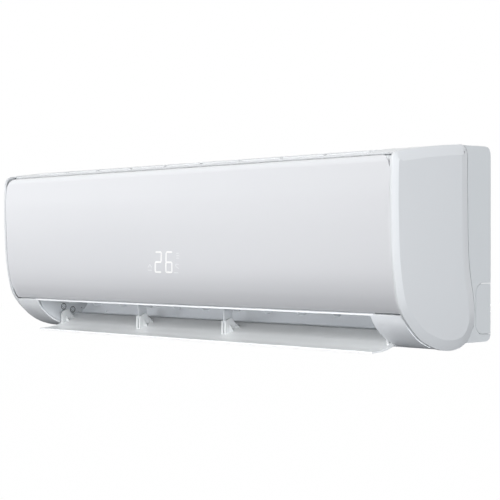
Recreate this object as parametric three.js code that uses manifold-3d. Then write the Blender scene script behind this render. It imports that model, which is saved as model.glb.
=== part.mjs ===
// Indoor half of a wall-mounted mini split air conditioner, as separate pieces.
// Millimetres. +X runs along the unit to the viewer's right, +Y into the wall, +Z up.
// Heights below are given above the chassis's underside. The whole unit is then lowered so
// that the origin lies in the middle of the wall plate's back face.
import * as THREE from 'three';
import { mergeVertices } from 'three/addons/utils/BufferGeometryUtils.js';
import Module from 'manifold-3d';

const wasm = await Module();
wasm.setup();

// ---- Overall ----
const UNIT_WIDTH = 855; // over the faces of both side covers
const UNIT_DEPTH = 207.5; // wall to the foremost line of the side covers
const UNIT_HEIGHT = 260.5; // chassis underside to chassis top
const HALF = UNIT_WIDTH / 2;
const FRONT_Y = -UNIT_DEPTH;
const PLATE_CENTRE_Z = 165; // height of the wall plate's middle
const SKIN = 2.5; // wall of the moulded casings
const GAP = 0.3; // between pieces that rest on each other
const SEAM = 0.8; // open seam between casing pieces

// ---- Side covers ----
const COVER_BEVEL = 4.7; // along X, from the rim to the face
const COVER_STRIP = 3.5; // rim seen from the front, beside the panel
const COVER_INSET = { front: 8, top: 14, back: 18, bottom: 14 }; // face outline inside the rim
const COVER_SHOULDER = 0.45; // where the rounded bevel turns, as a part of its run

// ---- Front panel ----
const PANEL_WALL = 2.6;
const PANEL_SETBACK = 0.6; // behind the side covers' front line
const PANEL_TOP_Z = 241.5;
const PANEL_CORNER = [22, 12]; // width and height of the oval round at the two top corners
const PANEL_RETURN = 7; // depth of the side edges
const PANEL_OPEN_CLEAR = 0.8; // beside the side covers
const HINGE_BACK = 14.5; // hinge axis behind the front line
const HINGE_Z = 235;
const HINGE_PIN_R = 2.5;
const HINGE_EYE_R = 4.4;
const HINGE_X = HALF - 127.5; // hinge arms, either side of the middle
const HINGE_ARM = 4;
const HINGE_BRACKET = 5;

// ---- Display on the panel's back ----
const DISPLAY_WIDTH = 108;
const DISPLAY_HEIGHT = 48;
const DISPLAY_DEPTH = 6.4;
const DISPLAY_Z = 107;
const BOARD_WALL = 1.6;
const LAMP_X = [-42, -30, 30, 42];

// ---- Front frame ----
const FRAME_BEHIND = 12; // front plate behind the panel's outer face
const FRAME_TOP_FRONT = 21; // front edge of the top skin behind the front line
const FILTER_BAY_X = [-HALF + 63.5, HALF - 167.5]; // the two filter openings together
const FILTER_PILLAR = 12;
const FILTER_BAY_Z = [110, 226];
const INLET_X = HALF - 61.5; // half length of the top inlet opening
const INLET_Y = [-178, -78];
const FRAME_BOTTOM_BACK = -62; // back edge of the bottom strip
const SCREW_X = [-HALF + 127.5, 0, HALF - 127.5]; // casing screws
const SCREW_Y = -84;
const SCREW_HOLE_R = 2;

// ---- Inlet grille ----
const GRILLE_PITCH = 80;
const GRILLE_BAR = 3;
const GRILLE_SLAT = 1.8;
const GRILLE_SLATS = 4;
const GRILLE_DEPTH = 6;

// ---- Rear chassis ----
const CHASSIS_HALF = HALF - 4.6;
const CHASSIS_FRONT = -56; // front edge of its outer skin
const CHASSIS_ROUND = 13;
const PLATE_BAY_DEPTH = 12; // room for the wall plate behind the chassis
const PLATE_BAY_Z = [98, 232];
const KNOCKOUT_WIDTH = 33.7;
const KNOCKOUT_Z = [10.5, 77.5];
const KNOCKOUT_ROUND = 13;
const KNOCKOUT_SEAM = 0.6;
const KNOCKOUT_BACK = 1; // its back edge, in front of the wall

// ---- Outlet duct ----
const DUCT_HALF = HALF - 62.2; // to the end walls
const END_WALL = 2.5;
const HUBS = [[-125.7, 26.5], [-106.8, 20.8]]; // round marks on the left end wall
const HUB_R = 5.6;
const DIMPLES = [[-109.5, 31.1], [-87.9, 23.4]];
const SQUARE_HOLE = [-96.5, -93.5, 15.5, 18.5];
const LIP_TOP = [-150, 76]; // upper duct wall, top end
const LIP_END = [-176.5, 44]; // upper duct wall, at the mouth
const WALL_START = 6.2; // the pan's share of that wall ends this far above the mouth
const TONGUE = [-140, 97];
const DRAIN_AT = [-163, 92]; // the drain spigots' axis

// ---- Main vane ----
const VANE_HALF = DUCT_HALF - 0.9;
const VANE_WALL = 2.4;
const VANE_PIVOT = [-125.3, 16.8];
const VANE_EYE_R = 5.5;
const VANE_PIN_R = 2;
const PIVOT_CLEAR = 0.4;
const HANGER_X = [-155.5, 42]; // left faces of the fixed hangers
const HANGER_WALL = 3;
const HANGER_WIDTH = 16;
const EAR_WALL = 3;
const EAR_FOOT = [-136.5, -107]; // where an ear stands on the vane
const RIBS = [[-128, 12.5], [-116, 7.8]]; // beside each ear: place and height
const RIB_LENGTH = 8;

// ---- Upright louvers ----
const LOUVER_COUNT = 11;
const LOUVER_SIDE_ROOM = [45.5, 28.4]; // from the duct's end walls to the outer blades
const LOUVER_FIRST_X = -DUCT_HALF + LOUVER_SIDE_ROOM[0];
const LOUVER_PITCH =
  (DUCT_HALF - LOUVER_SIDE_ROOM[1] - LOUVER_FIRST_X) / (LOUVER_COUNT - 1);
const LOUVER_WALL = 1.6;
const LOUVER_CHORD = 16; // half its length along the flow
const LOUVER_ROOT = 6; // from the duct wall to the blade
const LOUVER_TIP = 39; // from the duct wall to the blade's end
const LOUVER_AT = 14; // pivot below the top end of the upper duct wall
const LOUVER_PIN_R = 2;
const LINK_R = 13; // pivot to the link's pin
const LINK_PIN_R = 1.5;
const FORK_CLEAR = 0.5;
const CRANK_X = DUCT_HALF + 20.7;
const STEPPER_R = 12; // of the vane's motor
const STEPPER_DEPTH = 19;
const SMALL_STEPPER_R = 10; // of the louvers' motor
const SMALL_STEPPER_DEPTH = 14;

// ---- Cross-flow fan ----
const FAN_Y = -95;
const FAN_Z = 122;
const FAN_R = 45;
const FAN_X = [-HALF + 77.5, HALF - 167.5];
const FAN_BLADES = 20;
const FAN_BLADE_WALL = 1.4;
const FAN_DISC = 3;
const SHAFT_R = 4;
const MOTOR_R = 42;
const BEARING_R = 17;
const MOTOR_X = [HALF - 151.5, HALF - 101.5];
const BULKHEAD_LEFT_X = -HALF + 64.7;
const BULKHEAD_RIGHT_X = HALF - 161.5;

// ---- Coil ----
const COIL_X = [-HALF + 75.5, HALF - 165.5];
const COIL_THICK = 26;
const TUBE_R = 3.3;
const TUBE_BORE_R = 4.2; // clears the flats of the tubes' sections
const TUBE_PITCH = 19;
const TUBE_ROW = 6.5; // either side of the slab's middle
const TUBE_SIDES = 6;
const COIL_PLATE = 1.2;
const BEND_OUT = 9; // how far the bends stand off the end plates
const SENSOR_AT = [-178, 164.5];
const TUBE_END_X = COIL_X[1] + 5;
const GAS_R = 4.8;
const LIQUID_R = 3.2;
const PIPE_DROP_X = HALF - 123.5; // where the gas pipe comes down; the liquid pipe lies beside it
const PIPE_SPACING = 14;
const PIPE_Y = -21;
const GAS_Z = 58;
const LIQUID_Z = 30;
const PIPE_END_X = -HALF + 97.5;

// ---- Electrics ----
const BOX_X = [HALF - 89.5, HALF - 16.5];
const BOX_Y = [-181, -64];
const BOX_Z = [108, 232];
const BOX_WALL = 2;
const BOX_SHELF_FRONT = -120;
const BOARD_POSTS = [[-172, 112], [-172, 218], [-74, 112], [-74, 218]];
const BUTTON_X = HALF - 117.5;
const BUTTON_Z = 122;
const BUTTON_R = 4;

// ---- Wall plate ----
const WALL_PLATE_SIZE = [520, 122];
const WALL_PLATE_WALL = 1.5;
const HOOK_X = [-200, -70, 70, 200];
const HOOK_Z = 217.5; // top of the hooks that the chassis hangs on

// Places that follow from the sizes above.
const COVER_RIM_X = HALF - COVER_BEVEL;
const COVER_INNER_X = COVER_RIM_X - COVER_STRIP;
const PANEL_HALF = COVER_INNER_X - PANEL_OPEN_CLEAR;
const FRAME_HALF = COVER_INNER_X - GAP;
const END_X = DUCT_HALF + GAP;
const CORNER_X = END_X + END_WALL + GAP;
const HINGE_Y = FRONT_Y + HINGE_BACK;

const AXIS_X = new THREE.Vector3(1, 0, 0);
const AXIS_Y = new THREE.Vector3(0, 1, 0);
const AXIS_Z = new THREE.Vector3(0, 0, 1);

// ======================= Shape helpers =======================

/** Closed solid made from a three.js geometry. */
function solid(geometry) {
  const bare = geometry.clone();
  for (const name of Object.keys(bare.attributes)) {
    if (name !== 'position') bare.deleteAttribute(name);
  }
  const merged = mergeVertices(bare, 1e-4);
  return new wasm.Manifold(new wasm.Mesh({
    numProp: 3,
    vertProperties: new Float32Array(merged.attributes.position.array),
    triVerts: new Uint32Array(merged.index.array),
  }));
}

/** three.js geometry of a solid. */
function geometryOf(body) {
  const mesh = body.getMesh();
  const geometry = new THREE.BufferGeometry();
  const points = new THREE.BufferAttribute(new Float32Array(mesh.vertProperties), 3);
  geometry.setAttribute('position', points);
  geometry.setIndex(new THREE.BufferAttribute(new Uint32Array(mesh.triVerts), 1));
  geometry.computeVertexNormals();
  return geometry;
}

const join = (...bodies) => bodies.flat().reduce((whole, body) => whole.add(body));
const cut = (body, ...tools) => tools.flat().reduce((left, tool) => left.subtract(tool), body);

/** The same solid on the other side of the middle plane X = 0. */
function mirrored(body) {
  const geometry = geometryOf(body);
  geometry.scale(-1, 1, 1);
  const index = geometry.index.array;
  for (let i = 0; i < index.length; i += 3) {
    [index[i], index[i + 1]] = [index[i + 1], index[i]];
  }
  return solid(geometry);
}

/** Prism of an outline given in the plane of two axes, from a start point along the third. */
function prism(outline, start, right, up, depth) {
  const shape = new THREE.Shape(outline.map(([a, b]) => new THREE.Vector2(a, b)));
  const geometry = new THREE.ExtrudeGeometry(shape, { depth, bevelEnabled: false, curveSegments: 8 });
  const out = new THREE.Vector3().crossVectors(right, up);
  geometry.applyMatrix4(new THREE.Matrix4().makeBasis(right, up, out).setPosition(...start));
  return solid(geometry);
}

const prismX = (outline, x0, x1) => prism(outline, [x0, 0, 0], AXIS_Y, AXIS_Z, x1 - x0);
const prismY = (outline, y0, y1) => prism(outline, [0, y1, 0], AXIS_X, AXIS_Z, y1 - y0);

/** Box between two corners. */
function box(x0, x1, y0, y1, z0, z1) {
  const geometry = new THREE.BoxGeometry(x1 - x0, y1 - y0, z1 - z0);
  geometry.translate((x0 + x1) / 2, (y0 + y1) / 2, (z0 + z1) / 2);
  return solid(geometry);
}

/** Cylinder from one point to another. */
function rod(from, to, radius, sides = 16, endRadius = radius) {
  const a = new THREE.Vector3(...from);
  const b = new THREE.Vector3(...to);
  const geometry = new THREE.CylinderGeometry(endRadius, radius, a.distanceTo(b), sides);
  const along = new THREE.Vector3().subVectors(b, a).normalize();
  geometry.applyQuaternion(new THREE.Quaternion().setFromUnitVectors(AXIS_Y, along));
  geometry.translate((a.x + b.x) / 2, (a.y + b.y) / 2, (a.z + b.z) / 2);
  return solid(geometry);
}

/** An open line moved sideways by a distance, to the left of its run. */
function beside(line, distance) {
  return line.map((point, i) => {
    const steps = [];
    if (i > 0) steps.push([point[0] - line[i - 1][0], point[1] - line[i - 1][1]]);
    if (i < line.length - 1) steps.push([line[i + 1][0] - point[0], line[i + 1][1] - point[1]]);
    const normals = steps.map(([a, b]) => [-b / Math.hypot(a, b), a / Math.hypot(a, b)]);
    const sum = [0, 1].map((k) => normals.reduce((total, n) => total + n[k], 0));
    const stretch = distance / (sum[0] * normals[0][0] + sum[1] * normals[0][1]);
    return [point[0] + sum[0] * stretch, point[1] + sum[1] * stretch];
  });
}

/** Outline of a strip that lies between two distances beside a line. */
const strip = (line, near, far) => [...beside(line, near), ...beside(line, far).reverse()];

/** Points of a smooth curve through a few given points. */
function curve(points, steps) {
  const spline = new THREE.SplineCurve(points.map(([a, b]) => new THREE.Vector2(a, b)));
  return spline.getSpacedPoints(steps).map(({ x, y }) => [x, y]);
}

/** Points of a round corner between two points, bent towards a third. */
function corner(from, towards, to, steps = 4) {
  const bend = new THREE.QuadraticBezierCurve(
    new THREE.Vector2(...from), new THREE.Vector2(...towards), new THREE.Vector2(...to));
  return bend.getPoints(steps).map(({ x, y }) => [x, y]);
}

/** Circle as an outline. */
function circle(centre, radius, sides = 16) {
  return Array.from({ length: sides }, (_, i) => {
    const turn = (i / sides) * 2 * Math.PI;
    return [centre[0] + radius * Math.cos(turn), centre[1] + radius * Math.sin(turn)];
  });
}

/** Rectangle with round corners as an outline. */
function roundRect(a0, a1, b0, b1, radius, steps = 4) {
  const centres = [[a1 - radius, b1 - radius, 0], [a0 + radius, b1 - radius, 1],
    [a0 + radius, b0 + radius, 2], [a1 - radius, b0 + radius, 3]];
  return centres.flatMap(([a, b, quarter]) => Array.from({ length: steps + 1 }, (_, i) => {
    const turn = (quarter + i / steps) * (Math.PI / 2);
    return [a + radius * Math.cos(turn), b + radius * Math.sin(turn)];
  }));
}

// ======================= Outlines in the cross-section (Y, Z) =======================

/** Front panel's outer face, from its top edge down to its bottom edge: setback, height. */
const PANEL_FACE = [[1.5, 224], [0.4, 206], [0, 190], [1.5, 150], [4, 108], [7.1, 84], [12.1, 66],
  [18.4, 52.5], [24.6, 42.6]];
const panelFront = FRONT_Y + PANEL_SETBACK;
const panelLine = [
  ...corner([panelFront + 10.5, PANEL_TOP_Z], [panelFront + 3.4, PANEL_TOP_Z - 1],
    [panelFront + 2, PANEL_TOP_Z - 9.5], 3),
  ...curve(PANEL_FACE.map(([back, z]) => [panelFront + back, z]), 12),
];

/** Lower corner pieces' outer face, from under the panel to the bottom's back edge. */
const LOWER_FACE = [[26.5, 39.5], [30.8, 30.6], [41, 19.1], [57, 7.2], [73, -0.4], [86, -3.9],
  [109, -6.8]];
const lowerLine = [
  ...curve(LOWER_FACE.map(([back, z]) => [FRONT_Y + back, z]), 10),
  [FRAME_BOTTOM_BACK, -6.3],
];

/** Side cover's rim, anticlockwise seen from +X, from the top front corner backwards. */
const topFront = [FRONT_Y + 14.5, 246];
const topBack = [-68, UNIT_HEIGHT - 0.2];
const coverBack = [[-52.3, 246], [-52, 184], [-48.8, 106], [-39.7, 62.1], [-36.7, 32]];
const COVER_LOWER = [[163.8, 12.4], [150.3, -0.4], [131.7, -6.9], [109.5, -7.9], [83.6, -2.9], [52.4, 11.7],
  [22.6, 40.2], [10.9, 66], [3.6, 108], [1, 150], [0, 190], [0.9, 229]];
const topLine = corner(topFront, [-135, 255.5], topBack, 4);
const coverLine = [
  ...corner([FRONT_Y + 0.9, 229], [FRONT_Y + 1.5, 244.5], topFront, 4).slice(1),
  ...topLine.slice(1),
  ...corner(topBack, [-54, UNIT_HEIGHT + 0.6], coverBack[0], 4).slice(1, -1),
  ...curve([...coverBack, ...COVER_LOWER.map(([back, z]) => [FRONT_Y + back, z])], 26),
].reverse();

/** A closed outline drawn in by its own amount on each side. */
function drawnIn(outline, { front, back, top, bottom }) {
  return outline.map((point, i) => {
    const before = outline[(i + outline.length - 1) % outline.length];
    const after = outline[(i + 1) % outline.length];
    const length = Math.hypot(after[0] - before[0], after[1] - before[1]);
    const out = [(after[1] - before[1]) / length, -(after[0] - before[0]) / length];
    const depth = out[0] ** 2 * (out[0] < 0 ? front : back) + out[1] ** 2 * (out[1] < 0 ? bottom : top);
    return [point[0] - out[0] * depth, point[1] - out[1] * depth];
  });
}
const evenly = (amount) => ({ front: amount, back: amount, top: amount, bottom: amount });
const partly = (inset, share) => Object.fromEntries(Object.entries(inset).map(([k, v]) => [k, v * share]));

/** Body between outlines at growing X; all have the same number of points. */
function loft(rings) {
  const count = rings[0].outline.length;
  const positions = rings.flatMap(({ x, outline }) => outline.flatMap(([y, z]) => [x, y, z]));
  const end = rings[0].outline.map(([a, b]) => new THREE.Vector2(a, b));
  const faces = THREE.ShapeUtils.triangulateShape(end, []);
  const last = (rings.length - 1) * count;
  const index = [];
  for (const [a, b, c] of faces) index.push(c, b, a, last + a, last + b, last + c);
  for (let ring = 0; ring < rings.length - 1; ring += 1) {
    for (let i = 0; i < count; i += 1) {
      const [p, q] = [ring * count + i, ring * count + ((i + 1) % count)];
      index.push(p, q, q + count, p, q + count, p + count);
    }
  }
  const geometry = new THREE.BufferGeometry();
  geometry.setAttribute('position', new THREE.Float32BufferAttribute(positions, 3));
  geometry.setIndex(index);
  return solid(geometry);
}

/** Upper duct wall: unit direction of the flow and the normal into the duct. */
const lipRun = [LIP_END[0] - LIP_TOP[0], LIP_END[1] - LIP_TOP[1]];
const lipLength = Math.hypot(...lipRun);
const flow = [lipRun[0] / lipLength, lipRun[1] / lipLength];
const inward = [-flow[1], flow[0]];
/** Place on the upper duct wall, at a distance above its lower end. */
const onLip = (above) => [LIP_END[0] - flow[0] * above, LIP_END[1] - flow[1] * above];

// ======================= Materials =======================

const finish = (color, roughness, metalness = 0) => ({ color, roughness, metalness });
const PEARL = finish(0xeef0f4, 0.22);
const WHITE = finish(0xe6e9ea, 0.4);
const GREY = finish(0xd3d7d9, 0.45);
const DUCT = finish(0xb9bec4, 0.5);
const STEEL = finish(0xb4b8bb, 0.35, 0.9);
const ALUMINIUM = finish(0xc9cdd1, 0.4, 0.9);
const COPPER = finish(0xb86b42, 0.35, 0.95);
const BRASS = finish(0xc9a552, 0.35, 0.95);
const BLACK = finish(0x26282b, 0.55);
const RUBBER = finish(0x2b2b2d, 0.85);
const BOARD = finish(0x2f6b45, 0.5);
const FILTER = finish(0x8e979f, 0.7);

const unit = new THREE.Group();
unit.position.z = -PLATE_CENTRE_Z;

/** Adds one named piece to the unit. */
function piece(name, body, look) {
  const mesh = new THREE.Mesh(geometryOf(body), new THREE.MeshStandardMaterial(look));
  mesh.name = name;
  unit.add(mesh);
}

// ======================= Casing =======================

const SIDES = [['left', -1], ['right', 1]];
const onSide = (side, body) => (side < 0 ? mirrored(body) : body);

/** Hollow end cover with a rounded bevel; its open side faces the unit. */
function sideCover() {
  const shoulder = drawnIn(coverLine, partly(COVER_INSET, COVER_SHOULDER));
  const outer = loft([
    { x: COVER_INNER_X, outline: coverLine },
    { x: COVER_RIM_X, outline: coverLine },
    { x: COVER_RIM_X + COVER_BEVEL * (1 - COVER_SHOULDER), outline: shoulder },
    { x: HALF, outline: drawnIn(coverLine, COVER_INSET) },
  ]);
  const inside = loft([
    { x: COVER_INNER_X - 1, outline: drawnIn(coverLine, evenly(SKIN)) },
    { x: COVER_RIM_X - SKIN / 2, outline: drawnIn(coverLine, evenly(SKIN)) },
    { x: HALF - SKIN, outline: drawnIn(coverLine, COVER_INSET) },
  ]);
  return cut(outer, inside);
}

/** Curved panel with side returns, and arms with pins that hang it from the front frame. */
function frontPanel() {
  const plate = prismX(strip(panelLine, 0, PANEL_WALL), -PANEL_HALF, PANEL_HALF);
  const returnLine = panelLine.slice(5);
  const sideEdge = prismX(
    strip(returnLine, PANEL_WALL / 2, PANEL_RETURN), PANEL_HALF - PANEL_WALL, PANEL_HALF);
  const corner = circle([0, 0], 1, 20).slice(0, 6).map(([x, z]) => [
    PANEL_HALF - PANEL_CORNER[0] * (1 - x), PANEL_TOP_Z - PANEL_CORNER[1] * (1 - z)]);
  const face = prismY([
    [PANEL_HALF, 0], ...corner, ...corner.map(([x, z]) => [-x, z]).reverse(), [-PANEL_HALF, 0],
  ], FRONT_Y - 5, FRONT_Y + 40);
  const eye = circle([HINGE_Y, HINGE_Z], HINGE_EYE_R, 16);
  const armOutline = [
    [HINGE_Y - 11, HINGE_Z - 22], [HINGE_Y - 2, HINGE_Z - 10], ...eye.slice(13), ...eye.slice(0, 6),
    [HINGE_Y - 10.5, HINGE_Z + 1],
  ];
  const arms = [-1, 1].map((side) => {
    const inner = HINGE_X - HINGE_ARM / 2;
    const arm = prismX(armOutline, inner, inner + HINGE_ARM);
    const pinEnd = inner + HINGE_ARM + HINGE_BRACKET + 1;
    const pin = rod([inner - 1, HINGE_Y, HINGE_Z], [pinEnd, HINGE_Y, HINGE_Z], HINGE_PIN_R);
    return onSide(side, join(arm, pin));
  });
  return join(join(plate, sideEdge, mirrored(sideEdge)).intersect(face), arms);
}

/** Line behind the panel on which the front plate and the filters lie. */
const behindPanel = beside(panelLine.slice(5), FRAME_BEHIND);
const frameLine = [
  [HINGE_Y + 9.5, UNIT_HEIGHT - 17.5], ...behindPanel.slice(1, -1), [FRONT_Y + 33, 42]];

/** Front casing: top skin, front plate, side walls, outlet corners, lip and bottom strip. */
function frontFrame() {
  const topSkinLine = [
    [FRONT_Y + FRAME_TOP_FRONT, 245.4], ...topLine.slice(1, -1), [CHASSIS_FRONT - SEAM, UNIT_HEIGHT]];
  const top = cut(
    prismX(strip(topSkinLine, 0, -SKIN), -FRAME_HALF, FRAME_HALF),
    box(-INLET_X, INLET_X, INLET_Y[0], INLET_Y[1], 200, 300),
  );
  const [bayLeft, bayRight] = FILTER_BAY_X;
  const bayMiddle = (bayLeft + bayRight) / 2;
  const front = cut(
    prismX(strip(frameLine, 0, SKIN), -FRAME_HALF, FRAME_HALF),
    box(bayLeft, bayMiddle - FILTER_PILLAR / 2, -220, -150, ...FILTER_BAY_Z),
    box(bayMiddle + FILTER_PILLAR / 2, bayRight, -220, -150, ...FILTER_BAY_Z),
    rod([BUTTON_X, -220, BUTTON_Z], [BUTTON_X, -150, BUTTON_Z], BUTTON_R + PIVOT_CLEAR),
  );
  const sideWall = cut(
    prismX(drawnIn(coverLine, evenly(SKIN - 0.5)), FRAME_HALF - SKIN, FRAME_HALF),
    prismX(strip(frameLine, -40, 0.1), FRAME_HALF - 4, FRAME_HALF + 1),
    prismX(roundRect(-160, -80, 45, 222, 12), FRAME_HALF - 4, FRAME_HALF + 1),
  );
  const lower = prismX(strip(lowerLine, 0, SKIN), END_X, FRAME_HALF);
  const ends = join(sideWall, lower);
  const bottomStrip = prismX(strip(lowerLine.slice(-2), 0, SKIN), -CORNER_X - 1, CORNER_X + 1);
  const lip = prismX([
    [FRONT_Y + 27, 40.6], [FRONT_Y + 27, 38.4], [LIP_END[0] + 0.6, 38.4], [LIP_END[0] + 0.6, 41.8],
    [FRONT_Y + 35.4, 43.6], [FRONT_Y + 32.6, 43.6],
  ], -CORNER_X - 1, CORNER_X + 1);
  const startLine = [LIP_END, onLip(WALL_START - GAP)];
  const ductStart = prismX(strip(startLine, -SKIN / 2, SKIN / 2), -DUCT_HALF, DUCT_HALF);
  const brackets = [-1, 1].map((side) => onSide(side, hingeBracket()));
  const screwHoles = SCREW_X.map((x) => rod([x, SCREW_Y, -20], [x, SCREW_Y, 0], SCREW_HOLE_R, 8));
  const body = join(top, front, ends, mirrored(ends), bottomStrip, lip, ductStart, brackets);
  return cut(body, screwHoles);
}

/** Ear on the frame's top edge that a panel pin turns in. */
function hingeBracket() {
  const x = HINGE_X + HINGE_ARM / 2 + GAP * 2;
  const ear = prismX([
    [HINGE_Y + 8, HINGE_Z - 12], [HINGE_Y + 11, HINGE_Z + 3.6],
    ...circle([HINGE_Y, HINGE_Z], HINGE_EYE_R, 16).slice(3, 14),
  ], x, x + HINGE_BRACKET);
  return cut(ear, rod([x - 1, HINGE_Y, HINGE_Z], [x + 9, HINGE_Y, HINGE_Z], HINGE_PIN_R + PIVOT_CLEAR));
}

/** Screw that holds the frame's bottom strip on the chassis. */
function casingScrew(x) {
  return join(
    rod([x, SCREW_Y, -8.6], [x, SCREW_Y, -7], 3.6, 12),
    rod([x, SCREW_Y, -7.5], [x, SCREW_Y, 4], SCREW_HOLE_R - GAP, 8),
  );
}

/** Slatted insert that fills the top opening. */
function inletGrille() {
  const inset = GAP;
  const [front, back] = INLET_Y;
  const line = beside(corner(topFront, [-135, 255.5], topBack, 6), 0)
    .filter(([y]) => y > front + 2 && y < back - 2);
  const rimLine = [at(line, front + inset), ...line, at(line, back - inset)];
  const whole = prismX(strip(rimLine, 0, -GRILLE_DEPTH), -INLET_X + inset, INLET_X - inset);
  const bars = Math.round((2 * INLET_X) / GRILLE_PITCH);
  const cell = (2 * INLET_X) / bars;
  const rim = 4;
  const slatGap = (back - front - 2 * rim) / GRILLE_SLATS;
  const windows = [];
  for (let bar = 0; bar < bars; bar += 1) {
    for (let slat = 0; slat < GRILLE_SLATS; slat += 1) {
      const x0 = -INLET_X + bar * cell + (bar ? GRILLE_BAR / 2 : rim);
      const x1 = -INLET_X + (bar + 1) * cell - (bar < bars - 1 ? GRILLE_BAR / 2 : rim);
      const y0 = front + rim + slat * slatGap;
      windows.push(box(x0, x1, y0, y0 + slatGap - GRILLE_SLAT, 200, 300));
    }
  }
  return cut(whole, join(windows));
}

/** Point of a line of points at a given first coordinate, on or past its ends. */
function at(line, a) {
  let i = line.findIndex((point) => point[0] > a);
  if (i < 1) i = i < 0 ? line.length - 1 : 1;
  const [p, q] = [line[i - 1], line[i]];
  return [a, p[1] + ((a - p[0]) / (q[0] - p[0])) * (q[1] - p[1])];
}

/** Rear scroll of the fan, from behind its top down to the outlet's back edge. */
const SCROLL = [[-46, 163], [-42.8, 122], [-45, 95], [-53, 68], [-66, 44], [-84, 20], [-105, -2]];
const scrollLine = curve(SCROLL, 9);

/** Back moulding: skins, wall plate bay, scroll, rear gutter, bulkheads and motor cradle. */
function rearChassis() {
  const [roundY, roundZ] = [-CHASSIS_ROUND, UNIT_HEIGHT - CHASSIS_ROUND];
  const topCorner = corner([roundY, UNIT_HEIGHT], [-0.5, UNIT_HEIGHT + 0.2], [-0.4, roundZ], 4);
  const bottomCorner = corner([roundY, 0], [-0.5, 0.2], [-0.4, CHASSIS_ROUND], 4);
  const outerLine = [
    [CHASSIS_FRONT, UNIT_HEIGHT - 0.8], ...topCorner, [-0.4, PLATE_BAY_Z[1] + 4],
    [-PLATE_BAY_DEPTH, PLATE_BAY_Z[1]], [-PLATE_BAY_DEPTH, PLATE_BAY_Z[0] - 4], [-46, 90],
  ];
  const back = prismX(strip(outerLine, 0, -SKIN), -CHASSIS_HALF, CHASSIS_HALF);
  const scroll = prismX(strip([...scrollLine, [-60, -1]], 0, SKIN), -DUCT_HALF, DUCT_HALF);
  const floorLine = [[CHASSIS_FRONT, 0], ...bottomCorner];
  const floor = prismX(strip(floorLine, 0, SKIN), -CHASSIS_HALF, CHASSIS_HALF);
  const floorJoint = box(-DUCT_HALF, DUCT_HALF, -62, -54, -0.9, 1.4);
  const gutterLine = [[-45, 164], [-38, 157], [-26, 157], [-20, 168], [-13, 168]];
  const gutter = prismX(strip(gutterLine, 0, SKIN), COIL_X[0] - 8, COIL_X[1] + 12);
  const sideOutline = [
    [-75, 0], ...bottomCorner, ...topCorner.toReversed(), [-75, UNIT_HEIGHT - 1]];
  const knockoutHole = prismX(
    knockoutOutline(-KNOCKOUT_SEAM, 5), CHASSIS_HALF - SKIN - 1, CHASSIS_HALF + 1);
  const coverRoom = prismX(drawnIn(coverLine, evenly(-SEAM)), COVER_INNER_X - SEAM, HALF + 1);
  const side = prismX(sideOutline, CHASSIS_HALF - SKIN, CHASSIS_HALF);
  const fanWall = [[-41.4, 122], [-44.6, 163], [-95, 170], [-134, 150]];
  const left = cut(
    prismX([[-56, 60], [-45, 90], ...fanWall, [-136, 100], [-100, 60]],
      BULKHEAD_LEFT_X, BULKHEAD_LEFT_X + SKIN),
    fanRod(BULKHEAD_LEFT_X - 1, BULKHEAD_LEFT_X + SKIN + 1, BEARING_R + GAP, 20),
  );
  const right = cut(
    prismX([[-49, 73.5], ...fanWall, [-136, 104], [-120, 73.5]],
      BULKHEAD_RIGHT_X, BULKHEAD_RIGHT_X + SKIN),
    fanRod(BULKHEAD_RIGHT_X - 1, BULKHEAD_RIGHT_X + SKIN + 1, SHAFT_R + 4, 20),
  );
  const cradle = cut(
    prismX([[-46, 78], [-46, 96], [-66, 112], [-124, 112], [-124, 78]], MOTOR_X[0] + 6, MOTOR_X[1] - 6),
    fanRod(...MOTOR_X, MOTOR_R + GAP, 24),
  );
  const cradleBase = prismX(
    [[-48.5, 74], [-47, 79.4], [-134, 79.4], [-134, 74]], BULKHEAD_RIGHT_X, MOTOR_X[1]);
  const shelfTop = BOX_Z[0] - GAP;
  const boxShelf = box(BOX_X[0] + 4, DUCT_HALF - 1, BOX_SHELF_FRONT, -42.6, shelfTop - 3, shelfTop);
  const pipeNotch = box(PIPE_DROP_X - 22, PIPE_DROP_X + 22, -43, -8, 80, 106);
  const screwBosses = SCREW_X.map((x) => rod([x, SCREW_Y, -3], [x, SCREW_Y, 9], SCREW_HOLE_R + 2.5, 12));
  const screwHoles = SCREW_X.map((x) => rod([x, SCREW_Y, -20], [x, SCREW_Y, 20], SCREW_HOLE_R, 12));
  const slotY = [-PLATE_BAY_DEPTH - SKIN - 1, -PLATE_BAY_DEPTH + 1];
  const hookSlots = HOOK_X.map((x) => box(x - 9, x + 9, ...slotY, HOOK_Z - 4, HOOK_Z + GAP));
  const body = join(back, scroll, floor, floorJoint, gutter, side, mirrored(side),
    left, right, cradle, cradleBase, boxShelf, screwBosses);
  const sideCuts = [coverRoom, knockoutHole];
  return cut(body, pipeNotch, screwHoles, hookSlots, sideCuts, sideCuts.map(mirrored));
}

/** Knock-out plate's outline up to a back edge; a negative inset gives the opening round it. */
function knockoutOutline(inset, backY) {
  const [low, high] = [KNOCKOUT_Z[0] + inset, KNOCKOUT_Z[1] - inset];
  const outline = roundRect(-KNOCKOUT_WIDTH + inset, 60, low, high, KNOCKOUT_ROUND - inset);
  return [...outline.slice(5, 15), [backY, low], [backY, high]];
}

/** Pipe knock-out plate with its C-shaped finger notch. */
function knockoutPlate() {
  const plate = prismX(knockoutOutline(0, -KNOCKOUT_BACK), CHASSIS_HALF - SKIN, CHASSIS_HALF);
  const mark = cut(
    prismX(roundRect(-8, 6, 39.4, 48.4, 3.5), CHASSIS_HALF - 0.9, CHASSIS_HALF + 1),
    prismX(roundRect(-6.6, 6, 40.8, 47, 2.6), CHASSIS_HALF - 2, CHASSIS_HALF + 2),
  );
  return cut(plate, mark);
}

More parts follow.
